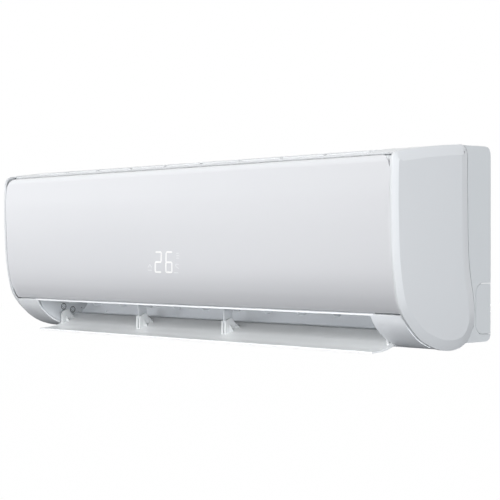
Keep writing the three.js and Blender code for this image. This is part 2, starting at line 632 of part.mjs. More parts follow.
/** Steel plate on the wall, with hooks that reach into the chassis's back. */
function wallPlate() {
  const [width, height] = WALL_PLATE_SIZE;
  const z0 = PLATE_CENTRE_Z - height / 2;
  const sheet = prismY(roundRect(-width / 2, width / 2, z0, z0 + height, 8), -WALL_PLATE_WALL, 0);
  const holes = [-230, -150, 150, 230].flatMap(
    (x) => [z0 + 14, z0 + height - 14].map((z) => rod([x, -5, z], [x, 5, z], 3, 8)));
  const wells = [-115, 115].map(
    (x) => prismY(roundRect(x - 22, x + 22, PLATE_CENTRE_Z - 18, PLATE_CENTRE_Z + 18, 10), -5, 5));
  const through = -PLATE_BAY_DEPTH - SKIN - GAP;
  const hooks = HOOK_X.map((x) => prismX([
    [-0.8, HOOK_Z - 1.5], [-0.8, HOOK_Z], [through, HOOK_Z], [through, HOOK_Z + 6.5],
    [through - 1.5, HOOK_Z + 6.5], [through - 1.5, HOOK_Z - 1.5],
  ], x - 7, x + 7));
  return join(cut(sheet, holes, wells), hooks);
}

// ======================= Outlet, vane and louvers =======================

/** Point of the upper duct wall's frame: along the flow, out from the wall's duct face. */
function ductPoint(along, out) {
  const reach = LOUVER_AT + along;
  return [
    LIP_TOP[0] + flow[0] * reach + inward[0] * (out + SKIN / 2),
    LIP_TOP[1] + flow[1] * reach + inward[1] * (out + SKIN / 2),
  ];
}
const ductRod = (x, along, from, to, radius, sides = 12) => rod(
  [x, ...ductPoint(along, from)], [x, ...ductPoint(along, to)], radius, sides);

/** Prism drawn in (X, flow) and raised out of the duct wall. */
function ductPrism(outline, from, to) {
  const start = ductPoint(0, to);
  return prism(outline, [0, ...start], AXIS_X, new THREE.Vector3(0, ...flow).negate(), to - from);
}

const louverXs = Array.from({ length: LOUVER_COUNT }, (_, i) => LOUVER_FIRST_X + i * LOUVER_PITCH);

/** Fork that the link's pin sits in, at its distance upstream of a pivot. */
function fork(x, from, to) {
  const slot = LINK_PIN_R + FORK_CLEAR;
  const pad = [[x - 4, 0], [x + 4, 0], [x + 4, LINK_R + 5], [x - 4, LINK_R + 5]];
  const notch = [
    [x - slot, LINK_R - 4], [x + slot, LINK_R - 4], [x + slot, LINK_R + 6], [x - slot, LINK_R + 6]];
  return cut(ductPrism(pad, from, to), ductPrism(notch, from - 1, to + 1));
}

/** One upright blade with its pin and fork. */
function louver(x) {
  const blade = prismX([
    ductPoint(-4, LOUVER_ROOT), ductPoint(LOUVER_CHORD, LOUVER_ROOT),
    ductPoint(LOUVER_CHORD, LOUVER_TIP - 8), ductPoint(LOUVER_CHORD - 6, LOUVER_TIP),
    ductPoint(-LOUVER_CHORD, LOUVER_TIP), ductPoint(-LOUVER_CHORD, LOUVER_ROOT + 6),
    ductPoint(-4, LOUVER_ROOT + 6),
  ], x - LOUVER_WALL / 2, x + LOUVER_WALL / 2);
  return join(
    blade,
    ductRod(x, 0, -SKIN - 1, LOUVER_ROOT + 4, LOUVER_PIN_R, 6),
    ductRod(x, 0, LOUVER_ROOT - 1, LOUVER_ROOT + 2, 4, 6),
    fork(x, LOUVER_ROOT, LOUVER_ROOT + 2),
  );
}

/** Bar along the duct wall whose pins turn all blades together. */
function louverLink() {
  const [x0, x1] = [louverXs[0] - 8, CRANK_X + 8];
  const bar = ductPrism(
    [[x0, LINK_R - 2], [x1, LINK_R - 2], [x1, LINK_R + 2], [x0, LINK_R + 2]], 2.2, 4.4);
  const pins = [...louverXs, CRANK_X].map((x) => ductRod(x, -LINK_R, 3.4, LOUVER_ROOT + 3, LINK_PIN_R, 6));
  return join(bar, pins);
}

/** Crank on the stepper's shaft, with the same fork as a blade. */
function louverCrank() {
  return join(
    ductRod(CRANK_X, 0, -SKIN - 4, LOUVER_ROOT + 3, LOUVER_PIN_R),
    ductRod(CRANK_X, 0, LOUVER_ROOT - 1, LOUVER_ROOT + 3, 5),
    fork(CRANK_X, LOUVER_ROOT, LOUVER_ROOT + 2),
  );
}

/** Small geared stepper motor with two fixing ears; its shaft bore faces the given way. */
function stepper(from, to, radius, earAxis, shaftBore) {
  const a = new THREE.Vector3(...from);
  const along = new THREE.Vector3(...to).sub(a).normalize();
  const can = rod(from, to, radius, 12);
  const ears = [-1, 1].map((side) => {
    const centre = a.clone().addScaledVector(earAxis, side * (radius + 3));
    return rod(centre.toArray(), centre.clone().addScaledVector(along, 1.2).toArray(), 4.5, 8);
  });
  const end = a.clone().addScaledVector(along, 9);
  const start = a.clone().addScaledVector(along, -1);
  return cut(join(can, ears), rod(start.toArray(), end.toArray(), shaftBore, 8));
}

/** Stepper above the duct wall's extension, on the crank's axis. */
function louverMotor() {
  const foot = -SKIN - GAP;
  return stepper([CRANK_X, ...ductPoint(0, foot)], [CRANK_X, ...ductPoint(0, foot - SMALL_STEPPER_DEPTH)],
    SMALL_STEPPER_R, AXIS_X, LOUVER_PIN_R + PIVOT_CLEAR);
}

/** Stepper on the right end wall, on the vane's axis. */
function vaneMotor() {
  const x = END_X + END_WALL + GAP;
  return stepper([x, ...VANE_PIVOT], [x + STEPPER_DEPTH, ...VANE_PIVOT], STEPPER_R, AXIS_Y,
    VANE_PIN_R + PIVOT_CLEAR);
}

/** Ring groove with four small pits in it, to be sunk in the end wall's duct face. */
function hub(centre) {
  const sunk = (outline) => prismX(outline, END_X - 1, END_X + 0.9);
  const ring = cut(sunk(circle(centre, HUB_R, 12)), sunk(circle(centre, HUB_R - 1.3, 12)));
  return [ring, ...circle(centre, HUB_R / 2 - 0.3, 4).map((place) => sunk(circle(place, 0.8, 5)))];
}

/** End wall of the duct; its lower edge stands inside the frame's corner piece. */
function outletEnd(side) {
  const edge = beside(lowerLine, SKIN + SEAM);
  const outline = [
    [-146, 82], ...curve([[LIP_END[0] + 1, 42.5], ...edge.slice(2, 9), [-107, -2.8]], 8),
    [-84, 20], [-66, 44], [-56, 66],
  ];
  const wall = prismX(outline, END_X, END_X + END_WALL);
  const through = (y, z, radius, sides) => rod([END_X - 2, y, z], [END_X + 4, y, z], radius, sides);
  const wallStart = [onLip(-2), onLip(WALL_START)];
  const holes = [
    prismX(strip(frameLine.slice(-4), -20, SKIN + GAP), END_X - 2, CRANK_X + 30),
    box(END_X - 2, CRANK_X + 30, -190, LIP_END[0] + 0.6 + GAP, 30, 46),
    prismX(strip(wallStart, -SKIN / 2 - GAP, SKIN / 2 + GAP), END_X - 2, END_X + 4),
    through(...VANE_PIVOT, VANE_PIN_R + PIVOT_CLEAR, 16),
    box(END_X - 2, END_X + 4, ...SQUARE_HOLE),
  ];
  const dimples = DIMPLES.map(([y, z]) => rod([END_X - 1, y, z], [END_X + 1, y, z], 1, 8));
  if (side < 0) return mirrored(cut(wall, holes, dimples, HUBS.flatMap(hub)));
  const shelf = prismX([
    ductPoint(-22, 0), ductPoint(14, 0), ductPoint(14, -SKIN), ductPoint(-22, -SKIN),
  ], END_X + 0.5, CRANK_X + 22);
  const [roomLeft, roomRight] = [END_X - 4, END_X + 5];
  const linkRoom = ductPrism([
    [roomLeft, LINK_R - 4], [roomRight, LINK_R - 4], [roomRight, LINK_R + 4], [roomLeft, LINK_R + 4],
  ], 1.4, 5.4);
  const crankBore = ductRod(CRANK_X, 0, -SKIN - 2, 2, LOUVER_PIN_R + PIVOT_CLEAR, 12);
  return cut(join(wall, shelf), holes, linkRoom, crankBore);
}

/** Fixed hanger that drops from the upper duct wall and holds one of the vane's middle pins. */
function vaneHanger(x) {
  const [y, z] = VANE_PIVOT;
  const back = y + VANE_EYE_R;
  const front = back - HANGER_WIDTH;
  const arm = prismX([
    [front, z - 1], [front + 3, z - VANE_EYE_R], ...circle([y, z], VANE_EYE_R, 12).slice(9), [back, z],
    [back, z + 32], ductPoint(-9.5, 8), ductPoint(-9.5, GAP), ductPoint(5, GAP), [front, z + 17],
  ], x, x + HANGER_WALL);
  return cut(arm, rod([x - 1, y, z], [x + HANGER_WALL + 1, y, z], VANE_PIN_R + PIVOT_CLEAR, 12));
}

/** The vane's section, open: its outer face from the front tip to the back edge. */
const VANE_FACE = [[31.5, -10.6], [55, -8.8], [71, -4.6], [84, 1.6], [107, 12.6]];
const vaneLine = curve(VANE_FACE.map(([back, z]) => [FRONT_Y + back, z]), 10);

/** Ear that stands on the vane's inner face and reaches its pivot. */
function vaneEar(x) {
  const [front, back] = EAR_FOOT;
  const inside = beside(vaneLine, VANE_WALL / 2);
  const foot = [at(inside, front), ...inside.filter(([y]) => y > front && y < back), at(inside, back)];
  const eye = circle(VANE_PIVOT, VANE_EYE_R, 12);
  return prismX([...foot, ...eye.slice(0, 4), [front, VANE_PIVOT[1] + 1.5]], x, x + EAR_WALL);
}

/** Two small triangular ribs beside an ear. */
function earRibs(x, side) {
  return RIBS.map(([y, height]) => {
    const foot = at(vaneLine, y)[1] + VANE_WALL / 2;
    const tip = x + side * RIB_LENGTH;
    const outline = [[x, foot], [tip, foot], [tip, foot + 2.4], [x, foot + height]];
    return prismY(side > 0 ? outline : outline.reverse(), y - 0.7, y + 0.7);
  });
}

/** Long curved vane with its ears, ribs and pins. */
function mainVane() {
  const plate = prismX(strip(vaneLine, 0, VANE_WALL), -VANE_HALF, VANE_HALF);
  const pin = (x0, x1) => rod([x0, ...VANE_PIVOT], [x1, ...VANE_PIVOT], VANE_PIN_R, 8);
  const endX = VANE_HALF - 6;
  const ends = [
    vaneEar(-endX), ...earRibs(-endX + EAR_WALL, 1), pin(-END_X - END_WALL + 0.4, -endX + 1),
    vaneEar(endX - EAR_WALL), ...earRibs(endX - EAR_WALL, -1), pin(endX - 1, END_X + END_WALL + 7),
  ];
  const middles = HANGER_X.flatMap((x) => {
    const left = x - GAP;
    const right = x + HANGER_WALL + GAP;
    return [
      vaneEar(left - EAR_WALL), vaneEar(right), ...earRibs(right + EAR_WALL, 1), pin(left - 1, right + 1)];
  });
  return join(plate, ends, middles);
}

/** Condensate pan under the front coil, in one piece with the upper duct wall. */
function drainPan() {
  const wallLine = [TONGUE, [-142, 88], LIP_TOP, onLip(WALL_START)];
  const wall = prismX(strip(wallLine, -SKIN / 2, SKIN / 2), -DUCT_HALF, DUCT_HALF);
  const troughLine = [[-186.2, 106], [-185, 88], [-178, 83], [-149, 83], [-141.5, 90]];
  const trough = prismX(strip(troughLine, 0, SKIN), -DUCT_HALF, DUCT_HALF);
  const closure = [
    [-186.4, 104], [-185.4, 87], [-178, 83.5], [-148, 83.5], [-141, 92], [-140, 97], [-146, 100]];
  const ends = [-DUCT_HALF, DUCT_HALF - SKIN].map((x) => prismX(closure, x, x + SKIN));
  const atDrain = (from, to, radius) => [-1, 1].map((side) => onSide(side, rod(
    [DUCT_HALF + from, ...DRAIN_AT], [DUCT_HALF + to, ...DRAIN_AT], radius, 16)));
  const spigots = atDrain(-1, 22, 7);
  const bores = atDrain(-4, 23, 5);
  const pinHoles = louverXs.map((x) => ductRod(x, 0, -SKIN - 3, 2, LOUVER_PIN_R + PIVOT_CLEAR, 8));
  return cut(join(wall, trough, ends, spigots), bores, pinHoles);
}

/** Rubber plug in the left spigot. */
function drainPlug() {
  const plugRod = (from, to, radius) => rod(
    [-DUCT_HALF - from, ...DRAIN_AT], [-DUCT_HALF - to, ...DRAIN_AT], radius, 16);
  return join(plugRod(22.4, 10, 4.7), plugRod(26, 22.3, 8));
}

// ======================= Fan =======================

/** Drum of forward-curved blades between end discs, with a middle ring. */
function fanRotor() {
  const [x0, x1] = FAN_X;
  const discs = [x0, (x0 + x1 - FAN_DISC) / 2, x1 - FAN_DISC].map(
    (x) => prismX(circle([0, 0], FAN_R, 24), x, x + FAN_DISC));
  const inner = FAN_R - 11;
  const blades = Array.from({ length: FAN_BLADES }, (_, i) => {
    const turn = (i / FAN_BLADES) * 2 * Math.PI;
    const point = (radius, lead) => [radius * Math.cos(turn + lead), radius * Math.sin(turn + lead)];
    const line = [point(inner, -0.16), point(FAN_R - 0.8, 0)];
    return prismX(strip(line, -FAN_BLADE_WALL / 2, FAN_BLADE_WALL / 2), x0 + 1, x1 - 1);
  });
  const onAxis = (from, to, radius) => rod([from, 0, 0], [to, 0, 0], radius, 12);
  const hubs = [onAxis(x0 - 0.1, x0 + 16, 10), onAxis(x1 - 16, x1 + 2, 10)];
  const bore = [onAxis(x0 - 2, x0 + 14, SHAFT_R + GAP), onAxis(x1 - 14, x1 + 4, SHAFT_R + GAP)];
  const drum = cut(join(discs, blades, hubs), bore);
  return drum.translate([0, FAN_Y, FAN_Z]);
}

const fanRod = (x0, x1, radius, sides = 16) => rod([x0, FAN_Y, FAN_Z], [x1, FAN_Y, FAN_Z], radius, sides);

/** Rubber-mounted bearing in the left bulkhead. */
function fanBearing() {
  const [x0, x1] = [BULKHEAD_LEFT_X - 3, BULKHEAD_LEFT_X + SKIN + 3];
  const flange = fanRod(x0 - 1.5, x0 + 1, BEARING_R + 3, 20);
  return cut(join(fanRod(x0, x1, BEARING_R, 20), flange), fanRod(x0 - 3, x1 + 2, SHAFT_R + GAP, 12));
}

/** Resin-cased motor with a bore for its shaft. */
function fanMotor() {
  const [x0, x1] = MOTOR_X;
  const bosses = [fanRod(x0, x0 + 4, 18, 20), fanRod(x1 - 4, x1, 18, 20)];
  const body = join(fanRod(x0 + 3, x1 - 3, MOTOR_R, 24), bosses);
  return cut(body, fanRod(x0 - 1, x1 - 10, SHAFT_R + GAP, 12));
}

/** Strap over the motor, with feet on the cradle's shoulders. */
function motorClamp() {
  const [x0, x1] = [MOTOR_X[0] + 16, MOTOR_X[1] - 16];
  const inner = MOTOR_R + GAP;
  const low = FAN_Z - 9.5;
  const feet = [
    box(x0, x1, FAN_Y - inner - 8, FAN_Y - inner + 1, low, low + 3.5),
    box(x0, x1, FAN_Y + inner - 1, FAN_Y + inner + 5.5, low, low + 3.5),
  ];
  return cut(
    join(fanRod(x0, x1, inner + 2.4, 28), feet),
    fanRod(x0 - 1, x1 + 1, inner, 28),
    box(x0 - 1, x1 + 1, FAN_Y - 60, FAN_Y + 60, low - 50.5, low),
  );
}

// ======================= Coil =======================

/** A fin pack's place in the section: foot, direction up its length, length and tubes per row. */
const SLABS = {
  coil_slab_front_low: { foot: [-168.3, 92], run: [0, 1], length: 68, tubes: 3 },
  coil_slab_front_high: { foot: [-168, 170], run: [0.57, 0.8216], length: 78, tubes: 4 },
  coil_slab_rear: { foot: [-58, 172], run: [-0.55, 0.8352], length: 72, tubes: 4 },
};

/** Point of a fin pack, along its length and across its thickness. */
const slabPoint = ({ foot, run }, along, across) => [
  foot[0] + run[0] * along - run[1] * across, foot[1] + run[1] * along + run[0] * across];

const slabOutline = (slab, grow = 0) => [
  slabPoint(slab, -grow, -COIL_THICK / 2 - grow), slabPoint(slab, -grow, COIL_THICK / 2 + grow),
  slabPoint(slab, slab.length + grow, COIL_THICK / 2 + grow),
  slabPoint(slab, slab.length + grow, -COIL_THICK / 2 - grow),
].reverse();

/** Centres of a fin pack's tubes, one list for each of its two rows. */
const tubeRows = (slab) => [-1, 1].map((row) => Array.from({ length: slab.tubes }, (_, i) => slabPoint(
  slab, slab.length / 2 + (i - (slab.tubes - 1) / 2) * TUBE_PITCH + row * 3.5, row * TUBE_ROW)));

/** Fin pack with a bore for each tube. */
function coilSlab(slab) {
  const bores = tubeRows(slab).flat().map(
    (centre) => prismX(circle(centre, TUBE_BORE_R, TUBE_SIDES), COIL_X[0] - 1, COIL_X[1] + 1));
  return cut(prismX(slabOutline(slab), ...COIL_X), bores);
}

/** Steel plate at one end of the coil, with a clearance hole for each tube. */
function coilEndPlate(side) {
  const x0 = side < 0 ? COIL_X[0] - GAP - COIL_PLATE : COIL_X[1] + GAP;
  const flanges = Object.values(SLABS).map((slab) => prismX(slabOutline(slab, 0.8), x0, x0 + COIL_PLATE));
  const bridges = [
    prismX([[-182, 158], [-155, 158], [-155, 172], [-182, 172]], x0, x0 + COIL_PLATE),
    prismX([[-134, 240], [-112, 222], [-100, 222], [-86, 240]], x0, x0 + COIL_PLATE),
  ];
  const holes = Object.values(SLABS).flatMap((slab) => tubeRows(slab).flat()).map(
    (centre) => prismX(circle(centre, TUBE_BORE_R + 0.3, TUBE_SIDES), x0 - 1, x0 + 3));
  return cut(join(flanges, bridges), holes);
}

/** Line of tube centres whose steps fall only where it bends. */
class TubeLine extends THREE.Curve {
  constructor(points) {
    super();
    this.points = points.map((point) => new THREE.Vector3(...point));
  }

  getUtoTmapping(u) {
    return u;
  }

  getPoint(t, target = new THREE.Vector3()) {
    const place = t * (this.points.length - 1);
    const i = Math.min(Math.floor(place), this.points.length - 2);
    return target.lerpVectors(this.points[i], this.points[i + 1], place - i);
  }

  getTangent(t, target = new THREE.Vector3()) {
    const place = Math.round(t * (this.points.length - 1));
    const before = this.points[Math.max(place - 1, 0)];
    const after = this.points[Math.min(place + 1, this.points.length - 1)];
    return target.subVectors(after, before).normalize();
  }
}

/** Round tube along a line of points. */
function tube(points, radius, sides = TUBE_SIDES) {
  const line = new TubeLine(points);
  const section = new THREE.Shape(circle([0, 0], radius, sides).map(([a, b]) => new THREE.Vector2(a, b)));
  return solid(new THREE.ExtrudeGeometry(
    section, { steps: points.length - 1, extrudePath: line, bevelEnabled: false }));
}

/** Points of a U bend between two tube ends at one X, standing off that end. */
function bend(p, q, x, out, steps) {
  return Array.from({ length: steps + 1 }, (_, i) => {
    const turn = (i / steps) * Math.PI;
    const share = (1 - Math.cos(turn)) / 2;
    return [x + out * Math.sin(turn), p[0] + (q[0] - p[0]) * share, p[1] + (q[1] - p[1]) * share];
  });
}

/** The coil's one brazed circuit: up the rear pack, down and up both front packs, and back. */
function coilTubes() {
  const [low, high, rear] = Object.values(SLABS).map(tubeRows);
  const order = [
    ...rear[1], ...high[0].toReversed(), ...low[0].toReversed(), ...low[1], ...high[1],
    ...rear[0].toReversed()];
  const [x0, x1] = [COIL_X[0] - 5, COIL_X[1] + 5];
  const line = [[TUBE_END_X, ...order[0]]];
  for (let i = 0; i + 1 < order.length; i += 1) {
    const [x, out] = i % 2 ? [x1, BEND_OUT] : [x0, -BEND_OUT];
    line.push(...bend(order[i], order[i + 1], x, out, 3));
  }
  return tube([...line, [TUBE_END_X, ...order.at(-1)]], TUBE_R);
}

/** A rounded route: straight runs between corners that are bent to a radius. */
function route(corners, radius, steps) {
  const points = corners.map((point) => new THREE.Vector3(...point));
  const line = [corners[0]];
  for (let i = 1; i < points.length - 1; i += 1) {
    const [from, to] = [points[i - 1], points[i + 1]].map((next) => {
      const way = new THREE.Vector3().subVectors(next, points[i]).normalize();
      return points[i].clone().addScaledVector(way, radius);
    });
    const bendLine = new THREE.QuadraticBezierCurve3(from, points[i], to);
    line.push(...bendLine.getPoints(steps).map((point) => point.toArray()));
  }
  return [...line, corners.at(-1)];
}

/** Connecting pipe from a rear tube's end, down behind the motor and along the rear channel. */
function connectingPipe(start, dropX, runZ, endX, radius) {
  const corners = [
    [TUBE_END_X + GAP, ...start], [dropX, ...start], [dropX, PIPE_Y, start[1] - 6],
    [dropX, PIPE_Y, runZ], [endX, PIPE_Y, runZ]];
  return tube(route(corners, 14, 3), radius, 8);
}

/** Hexagonal flare nut on a pipe's end, with its bore open to the far side. */
function flareNut(x, z, across, pipeR) {
  const y = PIPE_Y;
  const collar = rod([x - 1, y, z], [x + 5, y, z], across / 2 - 2.5, 12);
  const nut = join(rod([x - 16, y, z], [x, y, z], across / 2, 6), collar);
  return cut(nut, rod([x - 18, y, z], [x + 7, y, z], pipeR + GAP, 12));
}

// ======================= Filters, electrics and small pieces =======================

/** Washable filter: a thin sheet with a raised border and cross ribs, curved over the coil. */
function airFilter(x0, x1) {
  const behindFrame = beside(frameLine, SKIN + 0.6)
    .filter(([, z]) => z > FILTER_BAY_Z[0] - 4 && z < FILTER_BAY_Z[1] - 4);
  const path = [
    ...behindFrame.reverse(), ...corner([FRONT_Y + 23, 224], [FRONT_Y + 28, 240], [FRONT_Y + 47, 242.6], 3),
    [-120, 247.6], [-86, 250.6],
  ];
  const sheet = prismX(strip(path, 0, -0.8), x0, x1);
  const thick = strip(path, 0, -2);
  const ribs = 3;
  const uprights = Array.from({ length: ribs }, (_, i) => {
    const x = x0 + ((x1 - x0 - 4) * i) / (ribs - 1);
    return prismX(thick, x, x + 4);
  });
  const rungs = [0, 4, 7, path.length - 2].map(
    (i) => prismX(strip([path[i], mid(path[i], path[i + 1])], 0, -2), x0 + 1, x1 - 1));
  return join(sheet, uprights, rungs);
}
const mid = (p, q) => [(p[0] + q[0]) / 2, (p[1] + q[1]) / 2];

/** Plastic control box, open at its right side. */
function controlBox() {
  const [x0, x1] = BOX_X;
  const outer = box(x0, x1, ...BOX_Y, ...BOX_Z);
  const inner = box(x0 + BOX_WALL, x1 + 1, BOX_Y[0] + BOX_WALL, BOX_Y[1] - BOX_WALL,
    BOX_Z[0] + BOX_WALL, BOX_Z[1] - BOX_WALL);
  const posts = BOARD_POSTS.map(([y, z]) => rod([x0 + 1, y, z], [x0 + BOX_WALL + 6, y, z], 3.5, 10));
  const wireSlot = box(x0 + 20, x0 + 34, BOX_Y[1] - 4, BOX_Y[1] + 2, BOX_Z[0] + 12, BOX_Z[0] + 24);
  return join(cut(outer, inner, wireSlot), posts);
}

/** Lid over the box's open side. */
function controlBoxLid() {
  const x = BOX_X[1] + GAP;
  return box(x, x + 1.6, BOX_Y[0], BOX_Y[1], ...BOX_Z);
}

/** Circuit board on the box's posts, with its tall components. */
function circuitBoard() {
  const x = BOX_X[0] + BOX_WALL + 6 + GAP;
  const top = x + BOARD_WALL;
  const parts = [
    box(top - 0.5, top + 28, -160, -128, 170, 206), box(top - 0.5, top + 16, -118, -102, 178, 206),
    box(top - 0.5, top + 16, -98, -82, 178, 206), rod([top - 0.5, -110, 150], [top + 30, -110, 150], 9, 16),
    box(top - 0.5, top + 4, -150, -124, 134, 160), box(top - 0.5, top + 9, -94, -78, 140, 166),
  ];
  return join(box(x, top, -177, -69, 125, 224), parts);
}

/** Row of cable terminals on the box's floor. */
function terminalBlock() {
  const z = BOX_Z[0] + BOX_WALL + GAP;
  const x0 = BOX_X[0] + 14;
  const body = box(x0, x0 + 26, -168, -100, z, z + 16);
  const slots = [-164, -151, -138, -125, -112].map((y) => box(x0 + 12, x0 + 27, y, y + 9, z + 6, z + 17));
  return cut(body, slots);
}

/** The panel's line between two heights, and the place on a falling line at one height. */
const atHeight = (line, z) => at(line.map(([y, height]) => [height, y]).reverse(), z).reverse();
const panelBetween = (low, high) => [
  atHeight(panelLine, high), ...panelLine.filter(([, z]) => z > low + 1 && z < high - 1),
  atHeight(panelLine, low)];

/** Layer behind the panel, drawn in from the display's outline. */
function displayLayer(near, far, inset) {
  const reach = DISPLAY_HEIGHT / 2 - inset;
  const half = DISPLAY_WIDTH / 2 - inset;
  return prismX(strip(panelBetween(DISPLAY_Z - reach, DISPLAY_Z + reach), near, far), -half, half);
}

/** Shallow tray on the panel's back that holds the lit display. */
function displayHousing() {
  const face = PANEL_WALL + GAP;
  const room = displayLayer(face - 1, face + DISPLAY_DEPTH - 1.4, 2);
  return cut(displayLayer(face, face + DISPLAY_DEPTH, 0), room);
}

/** Board with a row of lamps inside the display tray. */
function displayBoard() {
  const back = PANEL_WALL + DISPLAY_DEPTH - 1.4;
  const row = displayLayer(back - BOARD_WALL - 1.5, back - 0.5, 10);
  const lamps = LAMP_X.map((x) => row.intersect(
    box(x - 2, x + 2, FRONT_Y, FRONT_Y + 40, DISPLAY_Z - 5, DISPLAY_Z + 5)));
  return join(displayLayer(back - BOARD_WALL, back, 2 + GAP), lamps);
}

/** Manual run button in the frame's front plate. */
function emergencyButton() {
  const [faceY] = atHeight(frameLine, BUTTON_Z);
  return join(
    rod([BUTTON_X, faceY - 1.8, BUTTON_Z], [BUTTON_X, faceY + 7, BUTTON_Z], BUTTON_R, 16),
    rod([BUTTON_X, faceY + 4.6, BUTTON_Z], [BUTTON_X, faceY + 7, BUTTON_Z], BUTTON_R + 2, 16),
  );
}

/** Pipe sensor: a sealed sleeve in a clip on the end plate. */
function coilSensor() {
  const x = COIL_X[1] + GAP + COIL_PLATE + GAP;
  const sleeve = (length, radius) => rod([x, ...SENSOR_AT], [x + length, ...SENSOR_AT], radius, 8);
  return join(sleeve(24, 2.6), sleeve(3, 3.6));
}

// ======================= Assembly =======================

for (const [name, side] of SIDES) {
  piece(`side_cover_${name}`, onSide(side, sideCover()), GREY);
  piece(`knockout_plate_${name}`, onSide(side, knockoutPlate()), GREY);
  piece(`outlet_end_${name}`, outletEnd(side), DUCT);
  piece(`coil_end_plate_${name}`, coilEndPlate(side), STEEL);
}
piece('wall_plate', wallPlate(), STEEL);
piece('rear_chassis', rearChassis(), GREY);
piece('front_frame', frontFrame(), WHITE);
piece('inlet_grille', inletGrille(), WHITE);
['left', 'middle', 'right'].forEach((name, i) => {
  piece(`casing_screw_${name}`, casingScrew(SCREW_X[i]), STEEL);
});
piece('front_panel', frontPanel(), PEARL);
piece('display_housing', displayHousing(), WHITE);
piece('display_board', displayBoard(), BOARD);

piece('main_vane', mainVane(), WHITE);
['left', 'right'].forEach((name, i) => {
  piece(`vane_hanger_${name}`, vaneHanger(HANGER_X[i]), WHITE);
});
piece('vane_motor', vaneMotor(), STEEL);
louverXs.forEach((x, i) => piece(`louver_${i + 1}`, louver(x), DUCT));
piece('louver_link', louverLink(), DUCT);
piece('louver_crank', louverCrank(), WHITE);
piece('louver_motor', louverMotor(), STEEL);

piece('fan_rotor', fanRotor(), BLACK);
piece('fan_shaft', fanRod(BULKHEAD_LEFT_X - 4, FAN_X[0] + 13, SHAFT_R, 12), STEEL);
piece('motor_shaft', fanRod(FAN_X[1] - 13, MOTOR_X[1] - 11, SHAFT_R, 12), STEEL);
piece('fan_bearing', fanBearing(), RUBBER);
piece('fan_motor', fanMotor(), WHITE);
piece('motor_clamp', motorClamp(), STEEL);

for (const [name, slab] of Object.entries(SLABS)) {
  piece(name, coilSlab(slab), ALUMINIUM);
}
piece('coil_tubes', coilTubes(), COPPER);
const rearTubes = tubeRows(SLABS.coil_slab_rear);
const gasPipe = connectingPipe(rearTubes[0][0], PIPE_DROP_X, GAS_Z, PIPE_END_X, GAS_R);
const liquidPipe = connectingPipe(
  rearTubes[1][0], PIPE_DROP_X + PIPE_SPACING, LIQUID_Z, PIPE_END_X - 20, LIQUID_R);
piece('gas_pipe', gasPipe, COPPER);
piece('liquid_pipe', liquidPipe, COPPER);
piece('gas_flare_nut', flareNut(PIPE_END_X + 14, GAS_Z, 22, GAS_R), BRASS);
piece('liquid_flare_nut', flareNut(PIPE_END_X - 6, LIQUID_Z, 17, LIQUID_R), BRASS);
piece('coil_sensor', coilSensor(), COPPER);
piece('drain_pan', drainPan(), WHITE);
piece('drain_plug', drainPlug(), RUBBER);

const [bayLeft, bayRight] = FILTER_BAY_X;
const bayMiddle = (bayLeft + bayRight) / 2;
piece('air_filter_left', airFilter(bayLeft - 3, bayMiddle - 1), FILTER);
piece('air_filter_right', airFilter(bayMiddle + 1, bayRight + 3), FILTER);
piece('control_box', controlBox(), WHITE);
piece('control_box_lid', controlBoxLid(), WHITE);
piece('circuit_board', circuitBoard(), BOARD);
piece('terminal_block', terminalBlock(), BLACK);
piece('emergency_button', emergencyButton(), WHITE);

export default unit;
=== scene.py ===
import logging
import math
from collections.abc import Iterable, Sequence
from dataclasses import dataclass
from enum import Enum

import bmesh
import bpy
from mathutils import Matrix, Vector


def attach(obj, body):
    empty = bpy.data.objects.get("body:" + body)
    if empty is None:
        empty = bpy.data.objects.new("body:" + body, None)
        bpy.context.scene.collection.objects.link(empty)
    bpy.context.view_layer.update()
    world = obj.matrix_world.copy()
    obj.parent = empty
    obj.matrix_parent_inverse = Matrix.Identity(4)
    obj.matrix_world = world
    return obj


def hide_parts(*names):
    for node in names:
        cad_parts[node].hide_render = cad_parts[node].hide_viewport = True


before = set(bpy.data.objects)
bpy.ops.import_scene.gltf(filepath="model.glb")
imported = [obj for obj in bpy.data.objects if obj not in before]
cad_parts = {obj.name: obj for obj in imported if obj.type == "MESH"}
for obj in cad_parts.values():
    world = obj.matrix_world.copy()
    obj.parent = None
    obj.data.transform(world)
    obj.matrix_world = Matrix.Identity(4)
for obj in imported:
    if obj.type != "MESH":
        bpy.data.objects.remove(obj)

LOG = logging.getLogger("indoor_unit")
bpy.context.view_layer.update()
MM = 0.001
DATUM = 165.0
WIDTH = 855.0
DEPTH = 207.5
HEIGHT = 260.5
FRONT = -DEPTH
# Points closer than this many metres are one: in a mesh made here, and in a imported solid.
MADE_MERGE = 1e-6
PACKED_MERGE = 2e-6
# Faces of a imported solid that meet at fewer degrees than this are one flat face.
FLAT_ANGLE = 1.0

Pair = tuple[float, float]
Spot = tuple[float, float, float]
Ring = list[Spot]


# ============================ Lines and shapes ============================


def bezier(start: Pair, towards: Pair, end: Pair, steps: int) -> list[Pair]:
    """Points of a round corner.

    Args:
        start: Where the corner begins.
        towards: The point that it bends towards.
        end: Where the corner ends.
        steps: Number of spans.

    Returns:
        The corner's points, both ends included.
    """
    points = []
    for i in range(steps + 1):
        t = i / steps
        weights = ((1 - t) ** 2, 2 * t * (1 - t), t * t)
        stops = list(zip(weights, (start, towards, end)))
        points.append(tuple(sum(weight * stop[k] for weight, stop in stops) for k in (0, 1)))
    return points


